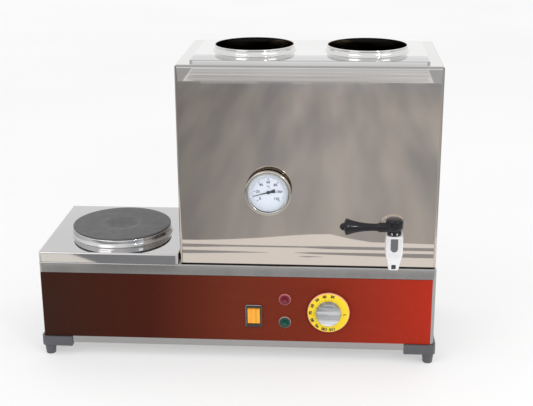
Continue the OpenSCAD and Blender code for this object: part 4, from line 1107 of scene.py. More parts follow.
@dataclass
class HotPlate(SubAssembly):
    """Cast-iron plate with its bright rim on the raised tray."""

    radius: float = 90.0
    hollow: float = 30.5

    def iron(self, centre: Vector, top: float) -> Piece:
        """Turns the iron plate with a soft edge, a ringed face and its hollow."""
        low = span("hotplate_iron")[0].z
        r, h = self.radius, self.hollow
        under = [(0, low), (14, low), (14, low + 4), (r - 14, low + 4), (r - 14, low), (r - 7, low),
                 (r - 4, low + 3)]
        edge = [(r - 4, top - 3), (r - 0.6, top - 3), (r, top - 2.4), (r, top - 1.3), (r - 0.35, top - 0.5)]
        face = [(r - 1.4, top), (r - 1.8, top), (h + 5, top), (h + 2.5, top - 0.15)]
        dip = [(h + 0.8, top - 0.6), (h - 0.9, top - 1.25), (h - 3, top - 1.6), (0, top - 1.6)]
        return turned("hotplate_face", under + edge + face + dip, (centre.x, centre.y, 0), sides=160)

    def rim(self, centre: Vector, foot: float) -> Piece:
        """Turns the rolled steel rim that stands out at its foot."""
        low, high = span("hotplate_rim")
        out = (high.x - low.x) / 2
        lip = high.z - foot
        r = self.radius
        outer = [(out, 0.35), (out - 0.35, 0.9), (out - 1.3, 1.6), (out - 2.2, 2.7), (out - 2.9, 4.4),
                 (out - 3.3, 6.8), (out - 3.4, lip - 1.9), (out - 3.7, lip - 0.9), (out - 4.3, lip - 0.25),
                 (out - 5.0, lip)]
        inner = [(r - 2.4, lip - 0.1), (r - 2.4, lip - 1.2), (r - 1.3, lip - 2.4), (r - 1.2, 6.0),
                 (r - 0.4, 3.2), (r + 0.8, 1.5), (r - 3.7, 1.2), (r - 3.7, 0)]
        profile = [(r - 3.7, 0), (out - 0.2, 0), *outer, *inner]
        return turned("hotplate_rim_rolled", profile, (centre.x, centre.y, foot), sides=160)

    def build(self) -> None:
        """Makes plate and rim and dresses the tray and what is under it."""
        low, high = span("hotplate_iron")
        centre = (low + high) / 2
        foot = span("hotplate_tray")[1].z
        iron = CastIron("coated cast iron", (centre.x, centre.y))
        self.keep(self.iron(centre, high.z), iron, "plate_iron", "hotplate_iron", angle=50)
        self.keep(self.rim(centre, foot), RIM_STEEL, "rim_steel", "hotplate_rim", angle=50)
        self.dress(TRAY_STEEL, "hotplate_tray")
        self.dress(SCREW_STEEL, "hotplate_bridge", "hotplate_stud")


@dataclass
class WaterTank(SubAssembly):
    """Double-walled tank with its raised cover, collars and water parts."""

    collar_bore: float = 68.3
    collar_wall: float = 1.5

    def collar(self, side: str) -> Piece:
        """Turns a collar with a flared foot and a rolled lip.

        Args:
            side: left or right.

        Returns:
            The collar.
        """
        node = f"teapot_collar_{side}"
        low, high = span(node)
        centre = middle(node)
        seat = span("tank_cover")[1].z
        bore, foot, top = self.collar_bore, low.z - seat, high.z - seat
        out = bore + self.collar_wall
        flare = [(out + 4, 0), (out + 3.9, 0.4), (out + 3.0, 0.9), (out + 1.9, 1.7), (out + 1.0, 3.0),
                 (out + 0.45, 4.8), (out + 0.15, 6.8)]
        lip = arc((out - 0.35, top - 1.15), 1.15, -35, 215, 12)
        profile = [(bore, foot), (out, foot), (out, 0), *flare, (out, top - 2.4), *lip, (bore, top - 2.6),
                   (bore, foot)]
        return turned(node + "_drawn", profile, (centre.x, centre.y, seat), sides=160)

    def build(self) -> None:
        """Makes the collars and dresses the tank."""
        for side, way in (("left", 1.0), ("right", -1.0)):
            centre = middle(f"teapot_collar_{side}")
            steel = CollarSteel(f"{side} collar steel", (centre.x, centre.y), self.collar_bore, way)
            self.keep(self.collar(side), steel, "collar_steel", f"teapot_collar_{side}", angle=50)
        self.dress(TANK_STEEL, "tank_casing", "tank_back_panel")
        self.dress(COVER_STEEL, "tank_cover")
        self.dress(VESSEL_STEEL, "water_vessel")
        self.dress(INNER_STEEL, "tank_floor")
        self.dress(HEATER_STEEL, "heating_element")
        self.dress(BRASS, "element_nuts", "bulb_pocket", "thermostat_capillary")
        self.dress(RUBBER, "tank_gasket")
        self.dress(WOOL, "insulation")


@dataclass
class Thermometer(SubAssembly):
    """Dial thermometer: rolled bezel, glass, printed dial and needle."""

    zero_angle: float = 219.0
    last_angle: float = -39.0
    last_value: int = 120
    dial_radius: float = 33.75
    plate_radius: float = 35.0
    needle_angle: float = 195.0
    long_tick: Triple = (21.8, 25.5, 0.50)
    middle_tick: Triple = (25.8, 28.2, 0.30)
    short_tick: Triple = (26.4, 28.2, 0.16)
    number_radius: float = 18.0

    def angle(self, value: float) -> float:
        """Angle of a temperature on the dial, in radians from three o'clock."""
        return math.radians(self.zero_angle + (self.last_angle - self.zero_angle) * value / self.last_value)

    def bezel(self, spot: Vector, depth: float) -> Piece:
        """Turns the rolled bezel with its inner slope."""
        low, high = span("thermometer_bezel")
        out, inner = (high.x - low.x) / 2, self.dial_radius
        slope = [(inner, 1.2), (inner, 0.9), (inner + 0.5, 0.45), (inner + 1.5, 0.08), (inner + 2.4, 0)]
        roll = [(out - 2.0, 0), (out - 0.95, 0.25), (out - 0.3, 0.85), (out, 1.8), (out, depth - 0.7)]
        back = [(out - 0.25, depth - 0.15), (out - 0.8, depth), (out - 2.4, depth), (out - 2.4, 1.2),
                (inner, 1.2)]
        return turned("thermometer_bezel_rolled", slope + roll + back, spot, Axis.BACK, 128)

    def dial(self, spot: Vector, depth: float) -> Piece:
        """Models the dial plate with its raised border."""
        r, hole, inside = self.plate_radius, 1.3, self.plate_radius - 1.8
        profile = [(hole, 0), (r - 0.4, 0), (r, 0.3), (r, depth), (inside, depth), (inside, 0.8), (hole, 0.8),
                   (hole, 0)]
        return turned("thermometer_dial_plate", profile, spot, Axis.BACK, 96)

    def tick(self, value: int) -> Triple:
        """Inner end, outer end and half width of the tick at a temperature."""
        if value % 20 == 0:
            return self.long_tick
        return self.middle_tick if value % 10 == 0 else self.short_tick

    def markings(self, spot: Vector) -> Piece:
        """Prints ticks, numbers and the unit on the dial."""
        marks: list[Piece] = []
        for value in range(0, self.last_value + 1, 2):
            start, end, half = self.tick(value)
            tick = block("tick", (start, -0.02, -half), (end, 0.03, half))
            tick.matrix_world = Matrix.Translation(spot * MM) @ Matrix.Rotation(-self.angle(value), 4, "Y")
            marks.append(settle(tick))
        for value in range(0, self.last_value + 1, 20):
            a, r = self.angle(value), self.number_radius
            at = spot + Vector((r * math.cos(a), -0.02, r * math.sin(a)))
            marks.append(lettering("number", str(value), 4.6, at, weight=0.16))
        marks.append(lettering("unit", "°C", 4.0, spot + Vector((0, -0.02, 9.6)), weight=0.14))
        return join("thermometer_print", marks)

    def needle(self, spot: Vector) -> Piece:
        """Models the needle with its flared tail, boss and spindle."""
        tip = self.dial_radius - 7
        blade = block("thermometer_needle_blade", (-12, -1.6, -1.0), (tip, -1.0, 1.0))
        with editing(blade, Pick.EDGES):
            bpy.ops.mesh.select_all(action="SELECT")
            bpy.ops.mesh.bisect(plane_co=(0, 0, 0), plane_no=(1, 0, 0), use_fill=False)
        for low, high, width in ((-12.5, -11.5, 3.4), (-1.0, 1.0, 1.0), (tip - 1.0, tip + 1.0, 0.35)):
            with editing(blade, Pick.CORNERS):
                pick(blade, Pick.CORNERS, lambda at, _: low < at.x < high)
                bpy.ops.transform.resize(value=(1, 1, width), center_override=(0, 0, 0))
        boss = turned("boss", [(0, -2.2), (1.6, -2.2), (2.8, -1.9), (3, -1.6), (3, -0.9), (1.2, -0.9),
                               (1.2, 7.5), (0, 7.5)], (0, 0, 0), Axis.BACK, 48)
        piece = join("thermometer_needle_flared", [blade, boss])
        piece.matrix_world = (Matrix.Translation(spot * MM)
                              @ Matrix.Rotation(math.radians(-self.needle_angle), 4, "Y"))
        return settle(piece)

    def build(self) -> None:
        """Makes the thermometer and dresses its stem."""
        low, high = span("thermometer_bezel")
        centre = (low + high) / 2
        face = Vector((centre.x, low.y, centre.z))
        dial_low, dial_high = span("thermometer_dial")
        dial = Vector((centre.x, dial_low.y, centre.z))
        glass_face = span("thermometer_glass")[0].y
        self.keep(self.bezel(face, high.y - low.y), GAUGE_STEEL, "gauge_steel", "thermometer_bezel", angle=50)
        self.keep(self.dial(dial, dial_high.y - dial_low.y), DIAL_WHITE, "dial_white", "thermometer_dial")
        self.keep(self.markings(dial), DIAL_INK, "needle_black")
        domed = [(0, 0.3), (20, 0.18), (34.6, 0), (35, 0.3), (35, 1.2), (34.6, 1.5), (0, 1.5)]
        glass = turned("thermometer_pane", domed, (centre.x, glass_face, centre.z), Axis.BACK)
        self.keep(glass, GLASS, "clear_glass", "thermometer_glass")
        self.keep(self.needle(dial), NEEDLE_PAINT, "needle_black", "thermometer_needle", body="needle")
        self.dress(GAUGE_STEEL, "thermometer_case")
        self.dress(BRASS, "thermometer_stem", "thermometer_nut")


@dataclass
class LeverTap(SubAssembly):
    """Chrome tap with its black bonnet and turned lever.

    Attributes:
        top: Height of the casting's top face above the floor.
        width: Width of the square head.
        head: Height of the square head.
        total: Height of head and taper together.
        tip: Width at the lower end of the taper.
        shank_r: Radius of the shank behind its flange.
        flange_r: Radius of the round flange behind the head.
        tongue_r: Half width of the tongue-shaped hollow in the front.
        tongue_top: Depth of the hollow's upper end below the top face.
        tongue_round: Depth at which its round end begins.
        tongue_deep: How far the hollow is sunk.
        window_half: Half width of the window near the tip.
        window_deep: How far the window is sunk behind the tip's front.
        window_low: Height of the window's lower end above the tip.
        window_high: Height of its upper end above the tip.
        water_way: Radius of the water's bores.
        plug_seat: Radius of the valve seat.
        bonnet_d: Diameter of the bonnet.
        arches: Number of pointed arches round the bonnet.
        hub_d: Diameter of the lever's hub.
        hub_h: Height of the hub.
        flutes: Number of flutes round the hub.
        lever: Length of the lever from the axis.
        waist: Radius of the lever next to the hub.
        flare: Radius of the lever near its end.
    """

    top: float = 259.0
    width: float = 29.0
    head: float = 30.0
    total: float = 61.0
    tip: float = 17.0
    shank_r: float = 8.3
    flange_r: float = 14.5
    tongue_r: float = 6.2
    tongue_top: float = 3.0
    tongue_round: float = 20.0
    tongue_deep: float = 1.6
    window_half: float = 3.8
    window_deep: float = 0.6
    window_low: float = 2.4
    window_high: float = 10.9
    water_way: float = 5.0
    plug_seat: float = 7.55
    bonnet_d: float = 24.0
    arches: int = 8
    hub_d: float = 29.0
    hub_h: float = 18.0
    flutes: int = 8
    lever: float = 91.0
    waist: float = 6.3
    flare: float = 14.3

    def casting(self, spot: Vector) -> Piece:
        """Models the tap's body: head, taper, shank, hollow and window."""
        w, t = self.width / 2, self.tip / 2
        body = block("tap_body_cast", (-w, -w, -self.head), (w, w, 0))
        with editing(body, Pick.FACES):
            pick(body, Pick.FACES, lambda _, normal: normal.z < -0.9)
            drop = self.total - self.head
            bpy.ops.mesh.extrude_region_move(TRANSFORM_OT_translate={"value": (0, 0, -drop * MM)})
            bpy.ops.transform.resize(value=(t / w, t / w, 1), center_override=(0, 0, -self.total * MM))
        round_edges(body, 3.4, 6, lambda at, along: abs(along.z) > 0.5)
        round_edges(body, 1.2, 4, lambda at, along: at.z > -0.01 or at.z < -self.total + 0.01)
        shank_z = middle("tap_rosette").z - self.top
        back = span("tap_body")[1].y - spot.y
        s, f = self.shank_r, self.flange_r
        flange = [(0, 12.6), (f - 0.5, 12.6), (f, 13.1), (f, 18.2), (f - 0.5, 18.8), (s + 0.3, 24.3)]
        pipe = [(s, 25), (s, back - 1), (s - 0.9, back), (0, back)]
        shank = turned("shank", flange + pipe, (0, 0, shank_z), Axis.BACK, 64)
        neck = rod("neck", 10.2, -1, 7.5, (0, 0, 0))
        carve(body, shank, neck, operation="UNION")
        r, half = self.tongue_r, self.window_half
        deep, middle_z = self.tongue_deep, -self.tongue_round
        tongue = block("tongue", (-r, -w - 3, middle_z), (r, -w + deep, -self.tongue_top))
        round_edges(tongue, 1.2, 3, lambda at, along: abs(along.y) > 0.9 and at.z > -10)
        end = rod("tongue_end", r, -w - 3, -w + deep, (0, 0, middle_z), Axis.BACK)
        window = block("window", (-half, -w - 3, -self.total + self.window_low),
                       (half, -t + self.window_deep, -self.total + self.window_high))
        round_edges(window, 0.9, 3, lambda at, along: abs(along.y) > 0.9)
        seat = rod("seat", self.plug_seat, -28.6, 12, (0, 0, 0))
        outlet = rod("outlet", self.water_way, -self.total - 1, -20, (0, 0, 0))
        inlet = rod("inlet", self.water_way, 0, back + 5, (0, 0, shank_z), Axis.BACK)
        carve(body, tongue, end, window, seat, outlet, inlet)
        soften(body, 0.35, 2, 42)
        self.shade_hollows(body)
        return place(body, spot)

    def shade_hollows(self, body: Piece) -> None:
        """Paints shade into the tongue hollow and the window of the casting: darker streaked grey on the
        hollow's floor, near black on its walls and the window's back.
        """
        front, tip_front = -self.width / 2, -self.tip / 2
        lowest = -self.tongue_round - self.tongue_r - 0.3
        window_top = -self.total + self.window_high + 0.3
        # Materials 1 and 2 are painted shade, not another metal.
        for finish in (TAP_CHROME, TAP_SHADE, TAP_WALL_SHADE):
            body.data.materials.append(finish.material())
        for polygon in body.data.polygons:
            at = polygon.center / MM
            sunk = front + 0.1 < at.y < front + self.tongue_deep + 0.1
            if abs(at.x) < self.tongue_r + 0.1 and sunk and lowest < at.z < -self.tongue_top + 0.1:
                polygon.material_index = 1 if abs(polygon.normal.y) > 0.9 else 2
            at_back = abs(at.y - tip_front - self.window_deep) < 0.1
            if abs(at.x) < self.window_half + 0.1 and at_back and at.z < window_top:
                polygon.material_index = 2

    def bonnet(self, spot: Vector) -> Piece:
        """Turns the bonnet and cuts its pointed arches and the notch for the shank."""
        r = self.bonnet_d / 2
        hole, room = 4.05, 10.35
        outline = [(hole, 7.5), (hole, 9.5), (r - 1.3, 9.5), (r - 0.4, 9.1), (r, 8.2), (r, 1.0),
                   (r - 0.3, 0.3), (r - 0.9, 0), (room, 0), (room, 7.5), (hole, 7.5)]
        cap = turned("tap_bonnet_notched", outline, (0, 0, 0))
        for i in range(self.arches):
            arch = rod("arch", 1.9, -30, -9.9, (0, 0, 0), Axis.BACK, 12)
            with editing(arch, Pick.CORNERS):
                pick(arch, Pick.CORNERS, lambda at, _: at.z > 1.2)
                bpy.ops.transform.resize(value=(0, 1, 0), center_override=(0, 0, 3.8 * MM))
            carve(cap, place(outward(arch), (0, 0, 3.4), Axis.UP, (i + 0.5) * 360 / self.arches))
        carve(cap, rod("pass", 8.6, 0, 20, (0, 0, -5), Axis.BACK))
        return place(soften(cap, 0.25, 2, 40), spot)

    def handle(self, spot: Vector, hub_foot: float, axis_z: float) -> Piece:
        """Turns hub and lever, joins them and cuts the hub's flutes.

        Args:
            spot: Axis of the tap at its top face.
            hub_foot: Height of the hub's underside.
            axis_z: Height of the lever's axis.

        Returns:
            The lever at rest.
        """
        r, h = self.hub_d / 2, self.hub_h
        shoulder = [(0, 0), (r - 2.5, 0), (r - 1.4, 0.7), (r - 0.6, 1.8), (r, 3.5), (r, h - 3.5)]
        crown = [(r - 0.35, h - 2.2), (r - 1.2, h - 1.2), (r - 2.2, h - 0.4), (r - 3.4, h), (0, h)]
        hub = turned("tap_lever_turned", shoulder + crown, (0, 0, hub_foot), sides=80)
        for i in range(self.flutes):
            a = 2 * math.pi * i / self.flutes
            at = ((r + 1.2) * math.cos(a), (r + 1.2) * math.sin(a), hub_foot)
            carve(hub, rod("flute", 2.6, 10.5, 40, at, sides=20))
        end, w, f = self.lever, self.waist, self.flare
        flare = [(w + (f - w) * (i / 12) ** 2.4, 30 + (end - 42) * i / 12) for i in range(13)]
        ball = arc((0, end - 6.5), 6.5, -40, 90, 9)
        profile = [(0, 4), (w + 2, 4), (w + 2, 24.6), (w + 1.6, 26), (w + 0.7, 27.2), *flare, (f, end - 11.2),
                   (f - 0.5, end - 10.2), (f - 1.6, end - 9.4), (f - 5.6, end - 7.6), *ball]
        lever = turned("lever", profile, (0, 0, axis_z), Axis.LEFT, 64)
        carve(hub, lever, operation="UNION")
        carve(hub, rod("spindle", 4.02, hub_foot - 20, hub_foot + 12.2, (0, 0, 0)),
              rod("clear", self.bonnet_d / 2 + 0.6, hub_foot - 9.5, hub_foot, (0, 0, 0), sides=64))
        soften(hub, 0.4, 2, 40)
        return place(hub, (spot.x, spot.y, 0))

    def plug(self) -> Piece:
        """Turns the valve plug with its stem and drills its side port."""
        low, high = span("tap_plug")
        centre = middle("tap_plug")
        r, h = (high.x - low.x) / 2, high.z - low.z
        barrel = [(0, 0), (r - 0.5, 0), (r, 0.5), (r, 31.4), (r - 0.5, 31.9)]
        stem = [(3.9, 31.9), (3.9, h - 0.6), (3.3, h), (0, h)]
        plug = turned("tap_plug_turned", barrel + stem, (centre.x, centre.y, low.z), sides=64)
        port_z = middle("tap_rosette").z
        port = rod("port", 4, -20, 0, (centre.x, centre.y, port_z), Axis.LEFT)
        return carve(plug, port, rod("down", 4, low.z - 5, port_z, (centre.x, centre.y, 0)))

    def rosette(self) -> Piece:
        """Turns the rosette against the tank."""
        low, high = span("tap_rosette")
        centre = middle("tap_rosette")
        r, t, hole = (high.x - low.x) / 2, high.y - low.y, 8.45
        profile = [(hole, 0), (r - 0.3, 0), (r, 0.3), (r, t), (hole, t), (hole, 0)]
        return turned("tap_rosette_turned", profile, (centre.x, low.y, centre.z), Axis.BACK)

    def build(self) -> None:
        """Makes the tap."""
        cap = middle("tap_bonnet")
        spot = Vector((cap.x, cap.y, self.top))
        foot = self.top + 9.8
        body = self.keep(self.casting(spot), TAP_CHROME, "tap_chrome", "tap_body", angle=40)
        self.keep(self.rosette(), TANK_STEEL, "tap_chrome", "tap_rosette", angle=20)
        bonnet = self.keep(self.bonnet(spot), HANDLE_PLASTIC, "handle_plastic", "tap_bonnet", angle=40)
        handle = self.handle(spot, foot, foot + 2.7)
        self.keep(handle, HANDLE_PLASTIC, "handle_plastic", "tap_handle", body="lever", angle=40)
        plug = self.keep(self.plug(), BRASS, "brass", "tap_plug", body="lever", angle=40)
        for piece in (body, bonnet, handle, plug):
            piece.visible_glossy = False
        self.dress(BRASS, "tap_lock_nut")
        self.dress(RUBBER, "tap_seal")


@dataclass
class RockerSwitch(SubAssembly):
    """Black switch frame with a painted silver highlight along its left, top and right edges, and an amber
    rocker.
    """

    rocker_w: float = 21.7
    rocker_h: float = 30.4
    tilt: float = 8.0
    pivot: float = 4.0
    gap: float = 0.35
    lap: float = 1.7
    well_deep: float = 14.0
    body_deep: float = 24.0
    blade_end: float = 32.0
    blade_spots: tuple[Point, ...] = ((-6.4, -9.65), (-6.4, 9.65), (6.4, -9.65), (6.4, 9.65))
    # border: width of the painted highlight along the frame's front edges.
    border: float = 0.75

    def housing(self, centre: Vector, face: float, panel: float) -> Piece:
        """Models the frame, its well and the body behind the panel."""
        low, high = span("switch_housing")
        frame_piece = block("switch_frame", (low.x, face, low.z), (high.x, panel, high.z))
        round_edges(frame_piece, 2.5, 5, lambda at, along: abs(along.y) > 0.9)
        round_edges(frame_piece, 0.7, 3, lambda at, along: at.y < face + 0.01)
        back = panel + self.body_deep
        behind = block("body", (low.x + self.lap, panel - 0.5, low.z + self.lap),
                       (high.x - self.lap, back, high.z - self.lap))
        soften(behind, 0.8)
        carve(frame_piece, behind, operation="UNION")
        x, z = self.rocker_w / 2 + self.gap, self.rocker_h / 2 + self.gap
        well = block("well", (centre.x - x, face - 2, centre.z - z),
                     (centre.x + x, panel + self.well_deep, centre.z + z))
        reach = self.rocker_w / 2 + 1.4
        axle = (centre.x, panel + self.pivot, centre.z)
        carve(frame_piece, well, rod("pins", 1.55, -reach, reach, axle, Axis.LEFT, 24))
        blades = [terminal(centre.x + across, centre.z + up, back - 0.1, panel + self.blade_end)
                  for across, up in self.blade_spots]
        piece = join("switch_frame", [frame_piece, *blades])
        piece.data.materials.append(BLACK_PLASTIC.material())
        piece.data.materials.append(GAUGE_STEEL.material())
        # Steel on the left, top and right front edges is a painted highlight.
        for polygon in piece.data.polygons:
            at = polygon.center / MM
            painted_highlight_edge = at.x < low.x + self.border or at.z > high.z - self.border or at.x > high.x - 0.3
            if at.y < panel + 0.01 and painted_highlight_edge:
                polygon.material_index = 1
        return piece

    def rocker(self, centre: Vector, reach: float, panel: float) -> Piece:
        """Models the rocker with its two sloping faces and round ends."""
        w, h = self.rocker_w / 2, self.rocker_h / 2
        rise = h * math.tan(math.radians(self.tilt))
        rocker = block("switch_rocker_sloped", (-w, -reach - 0.4, -h), (w, 5, h))
        with editing(rocker, Pick.EDGES):
            bpy.ops.mesh.select_all(action="SELECT")
            bpy.ops.mesh.bisect(plane_co=(0, 0, 0), plane_no=(0, 0, 1), use_fill=False)
        with editing(rocker, Pick.CORNERS):
            pick(rocker, Pick.CORNERS, lambda at, _: at.y < -reach and abs(at.z) > h - 1)
            bpy.ops.transform.translate(value=(0, -rise * MM, 0))
        carve(rocker, rod("ends", h, -w - 2, w + 2, (0, 0, 0), Axis.LEFT, 96), operation="INTERSECT")
        soften(rocker, 0.7, 3, 35)
        carve(rocker, rod("pins", 1.5, -w - 1.2, w + 1.2, (0, 0, 0), Axis.LEFT, 24), operation="UNION")
        rocker.matrix_world = (Matrix.Translation(Vector((centre.x, panel + self.pivot, centre.z)) * MM)
                               @ Matrix.Rotation(math.radians(self.tilt), 4, "X"))
        return settle(rocker)

    def build(self) -> None:
        """Makes frame and rocker."""
        centre = middle("switch_housing")
        face = span("switch_housing")[0].y
        panel = span("control_panel")[0].y
        self.keep(self.housing(centre, face, panel), BLACK_PLASTIC, "black_plastic", "switch_housing")
        rocker = self.rocker(centre, panel + self.pivot - face, panel)
        self.keep(rocker, AMBER, "rocker_amber", "switch_rocker", body="rocker")


@dataclass
class SignalLamps(SubAssembly):
    """Red and green signal lamps with moulded rims and stepped lenses."""

    rim: float = 11.0
    lens: float = 7.5
    body_deep: float = 22.7
    blade_end: float = 30.7
    blade_apart: float = 8.5

    def lamp(self, colour: str, lens_finish: Finish, face: Colour, edge: Colour) -> None:
        """Makes one lamp: rim with its body and nut, and the stepped lens."""
        at = middle(f"{colour}_lamp_bezel")
        panel = span("control_panel")[0].y
        spot = (at.x, panel, at.z)
        r, inner = self.rim, self.lens
        wall = inner + 1
        profile = [(0, 8), (inner, 8), (inner, -2.0), (inner + 0.3, -2.5), (wall, -2.8), (inner + 2.0, -2.6),
                   (r - 0.8, -1.7), (r - 0.15, -0.9), (r, 0), (wall, 0), (wall, self.body_deep),
                   (0, self.body_deep)]
        rim = turned(f"{colour}_lamp_rim", profile, spot, Axis.BACK, 64)
        nut = rod("nut", inner + 5, 2.7, 6.7, spot, Axis.BACK, 6)
        carve(rim, soften(nut, 0.4), operation="UNION")
        start, end = panel + self.body_deep - 0.1, panel + self.blade_end
        blades = [terminal(at.x + side * self.blade_apart / 2, at.z, start, end) for side in (-1, 1)]
        # The rim's edge colour is a painted highlight.
        finish = RimmedDisc(f"{colour} lamp rim", (at.x, at.z), self.rim + 0.1, face, edge)
        bezel = join(rim.name, [rim, *blades])
        self.keep(bezel, finish, "lamp_bezel_clear", f"{colour}_lamp_bezel", angle=40)
        rl = inner - 0.15
        steps = [(rl * (1 - 0.17 * i) - d, -3.0 - 0.62 * i - 0.35 * (1 - d))
                 for i in range(5) for d in (0.0, 0.9)]
        profile = [(0, 7.8), (rl, 7.8), (rl, -3.0), *steps[1:], (0, -5.9)]
        lens = turned(f"{colour}_lamp_lens_stepped", profile, spot, Axis.BACK, 48)
        self.keep(lens, lens_finish, f"lens_{colour}", f"{colour}_lamp_lens", angle=25)

    def build(self) -> None:
        """Makes both lamps."""
        # Edge colours of the lamp rims are painted highlights.
        self.lamp("red", LENS_RED, (0.24, 0.045, 0.05), (0.52, 0.17, 0.19))
        self.lamp("green", LENS_GREEN, (0.030, 0.060, 0.055), (0.34, 0.27, 0.24))


@dataclass
class Thermostat(SubAssembly):
    """Thermostat with its numbered disc and chrome knob."""

    first_angle: float = 77.8
    step_angle: float = 25.65
    first_value: int = 30
    last_value: int = 110
    label_radius: float = 31.4
    dot_radius: float = 24.6
    off_radius: float = 28.5
    off_angle: float = -5.0
    off_turn: float = -16.0
    shaft_hole: float = 3.02
    knob_r: float = 22.5
    knob_h: float = 12.0
    body: str = "knob"

    def disc(self, spot: Vector) -> Piece:
        """Turns the shallow cup of the disc with its sloping edge."""
        low, high = span("thermostat_disc")
        r, depth, hole = (high.x - low.x) / 2, high.y - low.y, self.shaft_hole
        face = [(hole, 0), (r - 1.5, 0), (r - 1.1, 0.2), (r - 0.2, 0.9), (r, 1.2), (r, depth)]
        back = [(r - 1.6, depth), (r - 1.6, 1.6), (hole, 1.6), (hole, 0)]
        return turned("thermostat_disc_moulded", face + back, spot, Axis.BACK, 128)

    def markings(self, spot: Vector) -> Piece:
        """Prints numbers, dots and the off mark on the disc."""
        marks: list[Piece] = []
        count = (self.last_value - self.first_value) // 10 + 1
        for i in range(2 * count - 1):
            degrees = self.first_angle + self.step_angle * i / 2
            a = math.radians(degrees)
            way = Vector((math.cos(a), 0, math.sin(a)))
            size = 0.7 if i % 2 == 0 else 0.5
            marks.append(rod("dot", size, -0.03, 0.03, spot + way * self.dot_radius, Axis.BACK, 16))
            if i % 2 == 0:
                value, at = str(self.first_value + 5 * i), spot + way * self.label_radius
                marks.append(lettering("number", value, 5.0, at, degrees - 90, 0.42))
        bar = block("bar", (-3.0, -0.03, -0.75), (3.0, 0.03, 0.75))
        a = math.radians(self.off_angle)
        at = spot + Vector((math.cos(a), 0, math.sin(a))) * self.off_radius
        turn = Matrix.Rotation(math.radians(self.off_turn), 4, "Y")
        bar.matrix_world = Matrix.Translation(at * MM) @ turn
        marks.append(settle(bar))
        return join("thermostat_print", marks)

    def knob(self) -> Piece:
        """Turns the flat-faced knob with its round shoulder, skirt and blind bore."""
        foot = span("thermostat_knob")[1].y
        centre = middle("thermostat_knob")
        r, h, hole = self.knob_r, self.knob_h, self.shaft_hole
        face = [((r - 4) * i / 6, 0.6 * (i / 6) ** 2) for i in range(6)]
        shoulder = arc((r - 4, 3.6), 3.0, -90, -5, 8)
        skirt = [(r - 1, h - 2.9), (r - 0.8, h - 2.4), (r - 0.2, h - 1.8), (r, h - 1.4), (r, h - 0.4),
                 (r - 0.4, h)]
        profile = [(0, 0), *face[1:], *shoulder, *skirt, (hole, h), (hole, 1.7), (0, 1.7)]
        return turned("thermostat_knob_flat", profile, (centre.x, foot - h, centre.z), Axis.BACK, 128)

    def build(self) -> None:
        """Makes disc, print and knob."""
        low = span("thermostat_disc")[0]
        centre = middle("thermostat_disc")
        spot = Vector((centre.x, low.y, centre.z))
        disc = RimmedDisc("numbered disc", (centre.x, centre.z))
        self.keep(self.disc(spot), disc, "disc_yellow", "thermostat_disc", angle=40)
        self.keep(self.markings(spot), DISC_INK, "needle_black")
        # The knob's chrome carries painted reflections.
        chrome = StreakedChrome("knob chrome with painted reflections", centre.z)
        self.keep(self.knob(), chrome, "knob_chrome", "thermostat_knob", angle=50)
        self.dress(SCREW_STEEL, "thermostat_body", "thermostat_shaft")


# Studio


